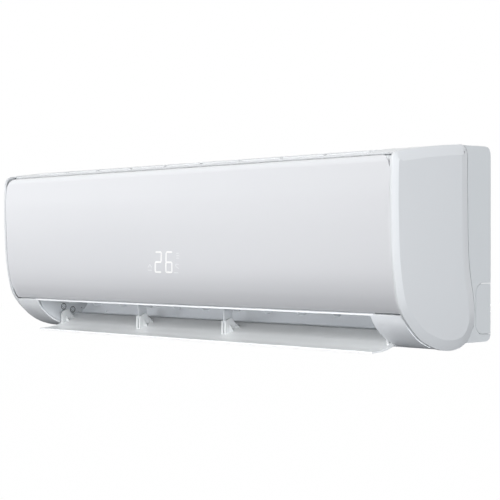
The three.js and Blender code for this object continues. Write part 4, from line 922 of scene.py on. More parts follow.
@dataclass
class Display:
    """Numbers that shine through the panel, with small lamps beside them.

    Attributes:
        section: The unit's cross-section.
        digits: The lit digits.
        low: Height of their foot.
        size: Their width and height.
        stroke: Width of a bar.
        mark_stroke: Width of a mark's strokes.
        lift: How far the digits stand in front of the panel.
        mark_lift: How far the marks do.
        sunk: How far both reach into it.
        lean: Shift to the right per millimetre of height.
    """

    section: Section
    digits: tuple[Glyph, ...] = (Glyph("abged", -29.0), Glyph("afgedc", -4.6))
    low: float = 89.6
    size: Pair = (13.4, 29.6)
    stroke: float = 2.3
    mark_stroke: float = 1.1
    lift: float = 0.12
    mark_lift: float = 0.11
    sunk: float = 0.3
    lean: float = 0.13

    def build(self) -> None:
        """Builds the digits and the faint marks."""
        shine = self._light("display_light", "#ffffff", 1.0)
        faint = self._light("display_mark_light", "#f6f7f9", 0.93)
        width, height = self.size
        middle = self.low + height / 2
        for number, glyph in enumerate(self.digits, 1):
            shape = Shape()
            for bar in glyph.bars:
                start, end = [(glyph.x + a * width / 2, middle + b * height / 2)
                              for a, b in DIGIT_BARS[bar]]
                self._bar(shape, start, end, self.stroke, self.lift)
            self._finish(shape, f"display_digit_{number}", shine)
        marks = Shape()
        for start, end in MARK_BARS:
            self._bar(marks, start, end, self.mark_stroke, self.mark_lift)
        self._finish(marks, "display_marks", faint)

    def _bar(self, shape: Shape, start: Pair, end: Pair, width: float, lift: float) -> None:
        """Adds one bar with tapered ends that follows the panel's curve.

        Args:
            shape: The mesh that it goes into.
            start: Its start, before the lean, as (X, Z).
            end: Its end.
            width: Its width.
            lift: How far it stands in front of the panel.
        """
        run = (end[0] - start[0], end[1] - start[1])
        length = math.hypot(*run)
        along = (run[0] / length, run[1] / length)
        across = (-along[1] * width / 2, along[0] * width / 2)
        rows = []
        for i in range(9):
            t = i / 8
            # Each end narrows at 45 degrees, to a tip that keeps a little of its width.
            taper = min(t, 1 - t) * length + width * 0.12
            half = min(taper / (width * 0.5), 1.0)
            spot = (start[0] + run[0] * t, start[1] + run[1] * t)
            rows.append([(spot[0] + across[0] * half * s, spot[1] + across[1] * half * s)
                         for s in (-1, 1)])
        rings = []
        for one, two in rows:
            ring = []
            for (a, b), depth in ((one, lift), (two, lift), (two, -self.sunk), (one, -self.sunk)):
                ring.append((a + (b - self.low) * self.lean, self.section.panel_y(b) - depth, b))
            rings.append(ring)
        shape.loft(rings)

    def _finish(self, shape: Shape, name: str, light: bpy.types.Material) -> None:
        """Turns the bars into a lit piece on the panel.

        Args:
            shape: The bars.
            name: The piece's name.
            light: Its material.
        """
        obj = shape.piece(name)
        obj.data.materials.append(light)
        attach(obj, "panel")
        LOG.info("%s: %d faces", name, len(obj.data.polygons))

    def _light(self, name: str, colour: str, strength: float) -> bpy.types.Material:
        """A lamp seen through the thin pearl wall.

        Args:
            name: The material's name.
            colour: Its sRGB colour.
            strength: Its strength, where 1 shows as written.

        Returns:
            The material.
        """
        made = blank(bpy.data.materials, name)
        glow = put(made.node_tree, "ShaderNodeBsdfPrincipled", {
            "Base Color": linear("#202224"), "Roughness": 0.4, "Emission Color": linear(colour),
            "Emission Strength": strength})
        put(made.node_tree, "ShaderNodeOutputMaterial", {"Surface": glow.outputs[0]})
        return made


@dataclass
class InletGrille:
    """Slatted insert of the top opening, under the panel's top edge.

    Attributes:
        section: The unit's cross-section.
        half: Half its length.
        front: Its front edge.
        back: Its back edge.
        cells: Number of openings along its length.
        slats: Number of slats across each opening.
        depth: Its depth.
        rim: Width of its border.
        sunk: How far the bars and the front border between the cells lie below the slats.
        notch: Length of that lower place.
        step: Height of the front border's raised parts.
        bar: Half the width of a bar.
        lean: How far a slat's upper edge lies before its middle, and its lower edge behind.
    """

    section: Section
    half: float = 365.7
    front: float = -177.7
    back: float = -78.3
    cells: int = 9
    slats: int = 11
    depth: float = 6.0
    rim: float = 4.0
    sunk: float = 1.6
    notch: float = 7.0
    step: float = 2.4
    bar: float = 1.3
    lean: float = 0.8

    def build(self) -> None:
        """Builds the border, the bars across it and the slats along it."""
        line = [point for point in self.section.top(40) if self.front < point[0] < self.back]
        under = [(y, z - self.depth) for y, z in line][::-1]
        shape = Shape()
        for x in (-self.half, self.half - self.rim):
            shape.along_x(line + under, x, x + self.rim)
        # The long sides reach 0.2 mm into the short ones, so that all four hold together.
        reach = self.half - self.rim + 0.2
        for y, sunk in ((self.front, self.sunk), (self.back - self.rim, 0.0)):
            near, far = self._height(line, y) - sunk, self._height(line, y + self.rim) - sunk
            under_z = self._height(line, y) - self.depth
            shape.along_x([(y, near), (y + self.rim, far), (y + self.rim, under_z), (y, under_z)],
                          -reach, reach)
        y = self.front
        near, far = self._height(line, y), self._height(line, y + self.rim)
        raised = [(y, near), (y + self.rim, far), (y + self.rim, far - self.step),
                  (y, near - self.step)]
        for x0, x1 in self._cells():
            shape.along_x(raised, x0, x1)
        border = rounded(shape.piece("grille_border"), radius=0.35)
        finish_piece(border, GRILLE_ABS, "chassis", "inlet_grille")
        pitch = 2 * self.half / self.cells
        lowered = [(y, z - self.sunk) for y, z in line]
        bar = Shape().along_x(lowered + under, -self.bar, self.bar).piece("grille_bars")
        rounded(bar, radius=0.3)
        bar.data.transform(Matrix.Translation(((-self.half + pitch) * MM, 0, 0)))
        Repeat(Layout.ROW, self.cells - 1, (pitch, 0, 0)).apply(bar, GRILLE_ABS)
        finish_piece(bar, GRILLE_ABS, "chassis")
        self._slats(line)

    def _slats(self, line: Sequence[Pair]) -> None:
        """Builds the slats, each a thin leaning blade.

        Args:
            line: The insert's upper face.
        """
        path_points = []
        step = (self.back - self.front - 2 * self.rim) / (self.slats + 1)
        for i in range(self.slats):
            y = self.front + self.rim + step * (i + 1)
            path_points.append((0.0, y, self._height(line, y)))
        path = line_object("grille_slat_path", path_points)
        blade = Shape()
        outline = [(-0.7 - self.lean, -0.4), (0.1 - self.lean, -0.1),
                   (0.7 + self.lean, -self.depth + 0.5), (-0.1 + self.lean, -self.depth + 0.4)]
        for x0, x1 in self._cells():
            blade.along_x(outline, x0, x1)
        slats = blade.piece("grille_slats")
        slats.data.transform(Matrix.Translation((0, 0, DATUM * MM)))
        Repeat(Layout.PATH, self.slats).apply(slats, GRILLE_ABS, path)
        bpy.data.objects.remove(path)
        finish_piece(slats, GRILLE_ABS, "chassis")

    def _cells(self) -> list[Pair]:
        """Both ends along X of each cell's raised parts."""
        pitch = 2 * self.half / self.cells
        starts = [-self.half + i * pitch + self.notch / 2 for i in range(self.cells)]
        return [(x, x + pitch - self.notch) for x in starts]

    def _height(self, line: Sequence[Pair], y: float) -> float:
        """Height of the insert's upper face at one place.

        Args:
            line: The face's line.
            y: The place.

        Returns:
            The height.
        """
        for one, two in zip(line, line[1:]):
            if one[0] <= y <= two[0]:
                return one[1] + (two[1] - one[1]) * (y - one[0]) / (two[0] - one[0])
        return line[0][1] if y < line[0][0] else line[-1][1]


def line_object(name: str, points: Sequence[Sequence[float]]) -> bpy.types.Object:
    """A line of edges through points, as a guide for a path.

    Args:
        name: Its name.
        points: Its points, in millimetres above the chassis's underside.

    Returns:
        The guide, which isn't part of the unit.
    """
    data = bpy.data.meshes.new(name)
    edges = [(i, i + 1) for i in range(len(points) - 1)]
    data.from_pydata([place(*point) for point in points], edges, [])
    return linked(name, data)


# ============================ Outlet ============================


@dataclass
class MainVane:
    """Long curved vane, with ears on its pins and comb ribs beside them.

    Attributes:
        section: The unit's cross-section.
        half: Half its length.
        wall: Its wall.
        pivot: Place of its axis.
        hangers: Left faces of the hangers that carry its middle pins.
        inset: How far its outermost ears stand inside its ends.
        ear_off: From a hanger's left face to those of the ears on both sides of it.
        pin_span: Both ends of a middle pin, from its hanger's left face.
        foot: Where an ear stands on the blade.
        ear: Width of an ear.
        eye: Radius of its round end.
        pin: Radius of a pin.
        pin_ends: Both outermost ends of the pins along X.
        ribs: Place and height of the comb ribs beside an ear.
        rib_length: Their length along X.
        rib_half: Half their width.
        sunk: How far the ribs and ears reach into the blade.
    """

    section: Section
    half: float = 364.4
    wall: float = 2.4
    pivot: Pair = (-125.3, 16.8)
    hangers: tuple[float, ...] = (-155.5, 42.0)
    inset: float = 6.0
    ear_off: float = 3.3
    pin_span: Pair = (-1.3, 4.3)
    foot: Pair = (-136.5, -107.0)
    ear: float = 3.0
    eye: float = 5.5
    pin: float = 2.0
    pin_ends: Pair = (-367.7, 375.0)
    ribs: tuple[Pair, ...] = ((-128.0, 12.5), (-116.0, 7.8))
    rib_length: float = 8.0
    rib_half: float = 0.7
    sunk: float = 0.8

    def build(self) -> None:
        """Builds the blade, then its ears, ribs and pins."""
        outer = self.section.vane()
        inner = beside(outer, self.wall)
        tip = bezier(outer[0], (outer[0][0] - 1.5, (outer[0][1] + inner[0][1]) / 2), inner[0], 6)
        bulge = (inner[-1][0] + 1.2, (inner[-1][1] + outer[-1][1]) / 2)
        tail = bezier(inner[-1], bulge, outer[-1], 6)
        outline = outer + tail[::-1][1:-1] + inner[::-1] + tip[::-1][1:-1]
        # The tip's bulge would reach past the vane's front line, so the blade is drawn back by it.
        outline = [(max(y, outer[0][0]), z) for y, z in outline]
        blade = Shape().along_x(outline, -self.half, self.half).piece("vane_blade")
        rounded(blade, radius=0.5, angle=55)
        finish_piece(blade, VANE_ABS, "vane", "main_vane")
        self._fittings(inner)

    def _fittings(self, inner: Sequence[Pair]) -> None:
        """Builds the ears, ribs and pins.

        Args:
            inner: The blade's inner face.
        """
        ears, ribs, pins = Shape(), Shape(), Shape()
        end = self.half - self.inset
        # An ear at each end, and one on each side of a hanger. The number beside its left face
        # says to which side of it ribs stand, if any do.
        spots = [(-end, 1), (end - self.ear, -1)]
        for x in self.hangers:
            spots += [(x - self.ear_off, 0), (x + self.ear_off, 1)]
        y, z = self.pivot
        front, back = self.foot
        root = [point for point in beside(inner, -self.sunk) if front < point[0] < back]
        outline = [(front, root[0][1]), *root, *circle(self.pivot, self.eye, 36)[:10],
                   (front + 1, z + 1.9), (front, z + 1)]
        for x, side in spots:
            ears.along_x(outline, x, x + self.ear)
            if side:
                # The ribs reach a tenth of a millimetre into the ear.
                start = x + (self.ear - 0.1 if side > 0 else 0.1)
                for rib in self.ribs:
                    self._rib(ribs, inner, rib, start, side)
        between = (tuple(x + off for off in self.pin_span) for x in self.hangers)
        left, right = self.pin_ends
        for start, finish in ((left, -end + 1), (end - 1, right), *between):
            pins.round_bar((start, y, z), (finish, y, z), self.pin)
        for shape, name, edge, segments in ((ears, "vane_ears", 0.35, 2),
                                            (ribs, "vane_comb_ribs", 0.2, 1),
                                            (pins, "vane_pins", 0.3, 1)):
            finish_piece(rounded(shape.piece(name), edge, segments), VANE_ABS, "vane")

    def _rib(self, shape: Shape, inner: Sequence[Pair], rib: Pair, start: float, side: int) -> None:
        """Adds one comb rib, which slopes down away from its ear.

        Args:
            shape: The mesh that it goes into.
            inner: The blade's inner face.
            rib: Its place and height.
            start: Where it meets the ear along X.
            side: 1 if it runs to the right of there, -1 if to the left.
        """
        middle, height = rib
        foot = min(inner, key=lambda point: abs(point[0] - middle))[1]
        end = start + side * self.rib_length
        corners = ((start, foot - self.sunk), (end, foot - self.sunk), (end, foot + 1.2),
                   (start + side * 1.4, foot + height - 2.6), (start, foot + height - 2.4))
        shape.loft([[(x, y, z) for x, z in corners]
                    for y in (middle - self.rib_half, middle + self.rib_half)])


# ============================ Fan ============================


@dataclass
class CrossFlowFan:
    """Drum of many thin curved blades in short skewed sections between discs.

    Attributes:
        middle: Place of its axis.
        radius: Its radius.
        ends: Its two ends along X.
        blades: Number of blades round it.
        sections: Number of sections along it.
        skew: Turn of each section against the last, in degrees.
        disc_half: Half a disc's thickness.
        lip: Half the width of a disc's flat rim, and how far its sides draw in from there.
        hole: Radius of the hole in the inner discs.
        shaft: Radius of the hole in the end discs.
        hub: Radius of the hubs at both ends.
        hub_length: Their length inside the drum.
        root: Radius of the blades' inner edges.
        rim: How far their outer edges lie inside the discs' edge.
        blade_half: Half a blade's thickness.
        sweep: Turn of a blade's outer edge against its inner one, in radians.
    """

    middle: Pair = (-95.0, 122.0)
    radius: float = 45.0
    ends: Pair = (-350.0, 260.0)
    blades: int = 35
    sections: int = 9
    skew: float = 3.4
    disc_half: float = 1.0
    lip: float = 0.6
    hole: float = 31.0
    shaft: float = 4.3
    hub: float = 10.0
    hub_length: float = 16.0
    root: float = 33.5
    rim: float = 0.9
    blade_half: float = 0.55
    sweep: float = 0.27

    def build(self) -> None:
        """Builds the discs and hubs, then the blades of each section."""
        left, right = self.ends
        length = (right - left) / self.sections
        half, lip = self.disc_half, self.lip
        discs = Shape()
        for i in range(self.sections + 1):
            x = min(max(left + i * length, left + half), right - half)
            rim = [self._ring(x + shift, self.radius - inset) for shift, inset in
                   ((-half, lip), (-lip, 0), (lip, 0), (half, lip))]
            bore = self.hole if 0 < i < self.sections else self.shaft
            hole = [self._ring(x + shift, bore) for shift in (half, -half)]
            discs.loft([*rim, *hole, rim[0]], caps=False)
        for start, finish in ((left, left + self.hub_length), (right - self.hub_length, right + 2)):
            discs.round_bar((start, *self.middle), (finish, *self.middle), self.hub)
        finish_piece(rounded(discs.piece("fan_discs"), 0), FAN_ABS, "fan", "fan_rotor")
        parts = [self._section(i, length) for i in range(self.sections)]
        with bpy.context.temp_override(active_object=parts[0], selected_editable_objects=parts):
            bpy.ops.object.join()
        parts[0].name = "fan_blades"
        finish_piece(parts[0], FAN_ABS, "fan")

    def _ring(self, x: float, radius: float) -> Ring:
        """A circle round the axis at one X."""
        return [(x, *point) for point in circle(self.middle, radius, 72)]

    def _section(self, number: int, length: float) -> bpy.types.Object:
        """Blades between two discs.

        Args:
            number: The section's number.
            length: Its length.

        Returns:
            The blades as one mesh.
        """
        start = self.ends[0] + number * length + self.disc_half
        out = [i / 8 for i in range(9)]
        rings = []
        for share in (0.0, 0.5, 1.0):
            turn = math.radians(self.skew * (number + share))
            outline = [self._blade_point(t, 1, turn) for t in out]
            outline += [self._blade_point(t, -1, turn) for t in out[::-1]]
            rings.append([(start + share * (length - 2 * self.disc_half), *point)
                          for point in outline])
        blades = Shape().loft(rings).piece(f"fan_blades_{number}")
        blades.data.transform(Matrix.Translation((0, 0, DATUM * MM)))
        rounded(blades, 0)
        return Repeat(Layout.RING, self.blades, (0.0, *self.middle)).apply(blades, FAN_ABS)

    def _blade_point(self, share: float, side: int, turn: float) -> Pair:
        """A point of a blade's section about the axis.

        Args:
            share: 0 at the blade's inner edge, 1 at its outer edge.
            side: 1 on its leading face, -1 on its trailing one.
            turn: Turn of the whole blade.

        Returns:
            The point.
        """
        # Thickest in the middle, and not quite sharp at both edges.
        off = side * self.blade_half * math.sin(math.pi * min(max(share, 0.08), 0.92))
        radius = self.root + (self.radius - self.rim - self.root) * share
        lead = turn + self.sweep * share ** 1.7 + off / radius
        return radius * math.cos(lead), radius * math.sin(lead)


# ============================ Coil ============================


# Pitch of the tubes up a fin pack, and how far each of its two rows lies off the middle: up the
# pack, which staggers them, and across it.
TUBE_PITCH = 19
ROW_STAGGER = 3.5
ROW_OFFSET = 6.5


@dataclass(frozen=True)
class Slab:
    """One fin pack's place in the section.

    Attributes:
        node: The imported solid's name.
        foot: Middle of its lower end.
        run: Direction up its length.
        length: Its length.
        tubes: Tubes in each of its two rows.
    """

    node: str
    foot: Pair
    run: Pair
    length: float
    tubes: int

    def point(self, along: float, across: float) -> Pair:
        """A point along its length and across its thickness."""
        return (self.foot[0] + self.run[0] * along - self.run[1] * across,
                self.foot[1] + self.run[1] * along + self.run[0] * across)

    def rows(self) -> list[list[Pair]]:
        """Centres of its tubes, one list for each row."""
        first = (self.tubes - 1) / 2
        return [[self.point(self.length / 2 + (i - first) * TUBE_PITCH + row * ROW_STAGGER,
                            row * ROW_OFFSET)
                 for i in range(self.tubes)] for row in (-1, 1)]


@dataclass
class Coil:
    """Three fin packs on one brazed circuit of copper tube.

    Attributes:
        slabs: The fin packs: low, high and rear.
        ends: The packs' two ends along X.
        thick: Their thickness.
        pitch: From fin to fin.
        fin: Thickness of a fin.
        wave: Depth of the waves in a fin's edges.
        wander: Largest stray of a fin from its place.
        tube: Radius of the tube.
        bend: How far its bends stand off.
        reach: How far its straight runs pass the packs' ends.
    """

    slabs: tuple[Slab, ...] = (
        Slab("coil_slab_front_low", (-168.3, 92), (0, 1), 68, 3),
        Slab("coil_slab_front_high", (-168, 170), (0.57, 0.8216), 78, 4),
        Slab("coil_slab_rear", (-58, 172), (-0.55, 0.8352), 72, 4))
    ends: Pair = (-352.0, 262.0)
    thick: float = 26.0
    pitch: float = 1.7
    fin: float = 0.24
    wave: float = 0.35
    wander: float = 0.07
    tube: float = 3.3
    bend: float = 9.0
    reach: float = 5.0

    def build(self) -> None:
        """Builds the fins of each pack and the tube."""
        for number, slab in enumerate(self.slabs):
            self._fins(slab, number)
        tube = swept("coil_tube_circuit", self._circuit(), self.tube, 14)
        finish_piece(tube, COPPER, "chassis", "coil_tubes")

    def _fins(self, slab: Slab, number: int) -> None:
        """Builds one pack's fins, each a thin sheet with wavy long edges.

        Args:
            slab: The pack.
            number: Its number, which seeds the fins' small stray.
        """
        half = self.thick / 2
        waves = 12
        edge = [slab.point(slab.length * i / waves, half - self.wave * (i % 2))
                for i in range(waves + 1)]
        back = [slab.point(slab.length * i / waves, -half + self.wave * (i % 2))
                for i in range(waves, -1, -1)]
        left, right = self.ends
        fins = Shape().along_x(edge + back, left + 0.1, left + 0.1 + self.fin)
        fins = fins.piece(f"{slab.node}_fins")
        count = int((right - left - 0.5) / self.pitch)
        row = Repeat(Layout.ROW, count, (self.pitch, 0, 0), self.wander, 11 + number)
        row.apply(fins, FIN_ALU)
        finish_piece(fins, FIN_ALU, "chassis", slab.node)

    def _circuit(self) -> list[Spot]:
        """The tube's line: through each pack and round each bend."""
        low, high, rear = (slab.rows() for slab in self.slabs)
        order = [*rear[1], *high[0][::-1], *low[0][::-1], *low[1], *high[1], *rear[0][::-1]]
        x0, x1 = self.ends[0] - self.reach, self.ends[1] + self.reach
        line = [(x1, *order[0])]
        for i, (one, two) in enumerate(zip(order, order[1:])):
            x, out = (x1, self.bend) if i % 2 else (x0, -self.bend)
            for step in range(9):
                turn = step / 8 * math.pi
                share = (1 - math.cos(turn)) / 2
                y, z = (a + (b - a) * share for a, b in zip(one, two))
                line.append((x + out * math.sin(turn), y, z))
        return [*line, (x1, *order[-1])]


def swept(name: str, line: Sequence[Sequence[float]], radius: float,
          sides: int) -> bpy.types.Object:
    """A round tube along a line in space.

    Args:
        name: The object's name.
        line: The line's points, in millimetres above the chassis's underside.
        radius: The tube's radius.
        sides: Number of sides.

    Returns:
        The tube.
    """
    given = [Vector(point) for point in line]
    # A point that lies on the one before it gives the line no direction.
    points = given[:1] + [two for one, two in zip(given, given[1:]) if (two - one).length > 1e-4]
    rings = []
    side = None
    for i, point in enumerate(points):
        run = (points[min(i + 1, len(points) - 1)] - points[max(i - 1, 0)]).normalized()
        if side is None:
            side = run.orthogonal().normalized()
        side = (side - run * side.dot(run)).normalized()
        up = run.cross(side)
        ring = []
        for k in range(sides):
            angle = 2 * math.pi * k / sides
            level, upright = radius * math.cos(angle), radius * math.sin(angle)
            ring.append(tuple(point + side * level + up * upright))
        rings.append(ring)
    tube = Shape().loft(rings).piece(name)
    return rounded(tube, 0, smooth=60)


@dataclass
class ConnectingPipe:
    """Copper pipe from the coil down to the rear channel.

    Attributes:
        node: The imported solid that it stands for.
        start: Place of the coil tube's end.
        drop_x: Where it turns down.
        run_z: Height of its run behind the unit.
        end_x: Its end.
        radius: Its radius.
        start_x: Where it leaves the coil.
        fall: How far it falls on its way to the back.
        behind: Y of its lower run.
        bend: Size of its bends.
    """

    node: str
    start: Pair
    drop_x: float
    run_z: float
    end_x: float
    radius: float
    start_x: float = 267.3
    fall: float = 6.0
    behind: float = -21.0
    bend: float = 14.0

    def build(self) -> None:
        """Builds the pipe."""
        corners = [Vector(p) for p in (
            (self.start_x, *self.start), (self.drop_x, *self.start),
            (self.drop_x, self.behind, self.start[1] - self.fall),
            (self.drop_x, self.behind, self.run_z), (self.end_x, self.behind, self.run_z))]
        line = [corners[0]]
        for before, at, after in zip(corners, corners[1:], corners[2:]):
            into = at + (before - at).normalized() * self.bend
            away = at + (after - at).normalized() * self.bend
            for step in range(9):
                t = step / 8
                line.append(into * (1 - t) ** 2 + at * (2 * t * (1 - t)) + away * t ** 2)
        line.append(corners[-1])
        pipe = swept(f"{self.node}_copper", line, self.radius, 18)
        finish_piece(pipe, COPPER, "chassis", self.node)


# ============================ Filters ============================


@dataclass
class AirFilter:
    """Washable net in a frame with ribs, curved over the coil behind the panel.

    Attributes:
        node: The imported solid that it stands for.
        section: The unit's cross-section.
        ends: Its two sides along X.
        mesh: Distance between the net's threads.
        thread: Width of a thread.
        border: Width of its frame's sides.
        rib: Width of the rib in its middle.
        thick: Thickness of the sides and that rib.
        cross_thick: Thickness of the ribs along X.
        cross_in: How far those ribs' ends lie inside the sides' outer edges.
        net_in: How far the first thread along the path does.
        net_depth: Depth of the threads along the path, below the frame's face.
        across_in: How far the ends of the threads along X lie inside the outer edges.
        across_depth: Depth of those threads' middles.
    """

    node: str
    section: Section
    ends: Pair
    mesh: float = 2.8
    thread: float = 0.4
    border: float = 5.0
    rib: float = 4.0
    thick: float = 1.9
    cross_thick: float = 1.8
    cross_in: float = 0.4
    net_in: float = 1.0
    net_depth: float = 0.3
    across_in: float = 0.5
    across_depth: float = 0.8

    def build(self) -> None:
        """Builds the frame and both sets of threads."""
        path = self._path()
        x0, x1 = self.ends
        frame_shape = Shape()
        spots = [x0, (x0 + x1) / 2 - self.rib / 2, x1 - self.border]
        for x, width in zip(spots, (self.border, self.rib, self.border)):
            self._band(frame_shape, path, (x, x + width), (0.0, self.thick))
        count = len(path)
        for start in (0, count // 4, count // 2, 3 * count // 4, count - 3):
            self._band(frame_shape, path[start:start + 3],
                       (x0 + self.cross_in, x1 - self.cross_in), (0.0, self.cross_thick))
        border = rounded(frame_shape.piece(f"{self.node}_frame"), radius=0.25, segments=1)
        finish_piece(border, NET_FRAME, "chassis", self.node)
        thread = Shape()
        first = x0 + self.net_in
        self._band(thread, path, (first, first + self.thread),
                   (self.net_depth, self.net_depth + self.thread))
        along = thread.piece(f"{self.node}_net_along")
        threads = int((x1 - x0 - 2 * self.net_in) / self.mesh)
        Repeat(Layout.ROW, threads, (self.mesh, 0, 0)).apply(along, NET)
        finish_piece(along, NET, "chassis")
        middles = beside(path, -self.across_depth)
        rail = line_object(f"{self.node}_path", [(0.0, *point) for point in middles])
        length = sum(math.dist(one, two) for one, two in zip(path, path[1:]))
        cross = Shape().along_x(circle((0, 0), self.thread / 2, 5), x0 + self.across_in,
                                x1 - self.across_in)
        cross = cross.piece(f"{self.node}_net_across")
        cross.data.transform(Matrix.Translation((0, 0, DATUM * MM)))
        Repeat(Layout.PATH, int(length / self.mesh)).apply(cross, NET, rail)
        bpy.data.objects.remove(rail)
        finish_piece(cross, NET, "chassis")

    def _path(self) -> list[Pair]:
        """The filter's front face, from its lower edge up and back over the coil."""
        low, high, clearance = 106, 222, 15.1
        behind = [p for p in beside(self.section.panel(4), clearance) if low < p[1] < high][::-1]
        bend = bezier((FRONT + 23, 224), (FRONT + 28, 240), (FRONT + 47, 242.6), 8)
        return smooth_line([*behind[::3], *bend[::2], (-120, 247.6), (-86, 250.6)], 3)

    def _band(self, shape: Shape, path: Sequence[Pair], sides: Pair, depths: Pair) -> None:
        """Adds a band along the path.

        Args:
            shape: The mesh that it goes into.
            path: The line that it follows.
            sides: Its two sides along X.
            depths: Depths of its face and its back below the path.
        """
        x0, x1 = sides
        front, back = (beside(path, -depth) for depth in depths)
        shape.loft([[(x0, *a), (x1, *a), (x1, *b), (x0, *b)] for a, b in zip(front, back)])


# ============================ Painted shade and screws ====================


@dataclass
class EndWallPaintedShade:
    """Painted shade in the left end wall's grooves and holes: two dark rings of four dots each, and
    two dark plugs.

    Attributes:
        face: Place of the wall's duct face along X.
        hubs: Middles of the rings in (Y, Z).
        radius: Middle radius of a ring.
        thick: Radius of its section.
        depth: Depth of its middle line behind the face.
        dots: Distance of the dots from a ring's middle.
        dot: Radius of a dot.
        dot_depths: Depths of its two ends.
        holes: Middles of the two small round holes.
        hole: Radius of their dark plugs.
        hole_depths: Depths of a plug's two ends.
    """

    face: float = -365.6
    hubs: tuple[Pair, ...] = ((-125.7, 26.5), (-106.8, 20.8))
    radius: float = 4.95
    thick: float = 0.6
    depth: float = 0.4
    dots: float = 2.5
    dot: float = 0.8
    dot_depths: Pair = (0.8, 0.1)
    holes: tuple[Pair, ...] = ((-109.5, 31.1), (-87.9, 23.4))
    hole: float = 0.9
    hole_depths: Pair = (0.9, 0.2)

    def build(self) -> None:
        """Builds the painted-shade rings, then the dots and the plugs in the holes."""
        for name, hub in zip(("front", "back"), self.hubs):
            # The rings, dots and plugs are painted shade: dark parts put where the wall's grooves
            # and holes only hold shade.
            ring = [(self.face - self.depth, y, z) for y, z in circle(hub, self.radius, 32)]
            shade_ring = swept(f"hub_seal_{name}", ring + ring[:1], self.thick, 8)
            finish_piece(shade_ring, SHADOW, "chassis")
            spots = circle(hub, self.dots, 4)
            self._plugs(f"hub_dots_{name}", spots, self.dot_depths, self.dot, 12)
        self._plugs("hole_linings", self.holes, self.hole_depths, self.hole, 16)

    def _plugs(self, name: str, spots: Sequence[Pair], depths: Pair, radius: float,
               sides: int) -> None:
        """Builds one piece of short round dark plugs along X, as painted shade.

        Args:
            name: The piece's name.
            spots: Middles of the plugs in (Y, Z).
            depths: Depths of their two ends behind the face.
            radius: Their radius.
            sides: Number of sides.
        """
        shape = Shape()
        deep, shallow = (self.face - depth for depth in depths)
        for y, z in spots:
            shape.round_bar((deep, y, z), (shallow, y, z), radius, sides)
        finish_piece(rounded(shape.piece(name), 0), SHADOW, "chassis")


@dataclass
class CasingScrews:
    """Pan-head screws with a cross recess under the frame's bottom strip.

    Attributes:
        spots: Their places along X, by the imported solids' names.
        y: Their place towards the wall.
        profile: Radius and height of its rings, from the head's lowest point up the shank.
        cross: Half the length and half the width of the recess's slots.
        cross_ends: Lower and upper end of the recess.
    """

    spots: tuple[tuple[str, float], ...] = (
        ("casing_screw_left", -300.0), ("casing_screw_middle", 0.0), ("casing_screw_right", 300.0))
    y: float = -84.0
    profile: tuple[Pair, ...] = ((0.3, -8.6), (2.2, -8.5), (3.2, -8.1), (3.6, -7.4), (3.6, -7.0),
                                 (1.7, -7.0), (1.7, 4.0))
    cross: Pair = (2.0, 0.45)
    cross_ends: Pair = (-9.2, -7.9)

    def build(self) -> None:
        """Builds each screw."""
        for node, x in self.spots:
            middle = (x, self.y)
            shape = Shape().loft([[(*point, z) for point in circle(middle, radius, 32)]
                                  for radius, z in self.profile])
            screw = shape.piece(f"{node}_head")
            recess = Shape()
            for a, b in (self.cross, self.cross[::-1]):
                corners = [(x - a, self.y - b), (x + a, self.y - b), (x + a, self.y + b),
                           (x - a, self.y + b)]
                recess.loft([[(*corner, z) for corner in corners] for z in self.cross_ends])
            tool = recess.piece(f"{node}_recess")
            carve = screw.modifiers.new("cross", "BOOLEAN")
            carve.operation = "DIFFERENCE"
            carve.object = tool
            carve.use_self = True
            baked(screw)
            bpy.data.objects.remove(tool)
            finish_piece(rounded(screw, 0), ZINC, "chassis", node)


# ============================ Studio ============================


# What stands in the open outlet, by the beginnings of its pieces' names.
OUTLET_PIECES = ("vane_ears", "vane_comb", "vane_pins", "vane_hanger", "outlet_end_", "louver_",
                 "drain_pan", "hub_", "hole_linings")
# Place that the lamps face, in metres.
LAMP_AIM = (0.0, -0.1, -0.03)


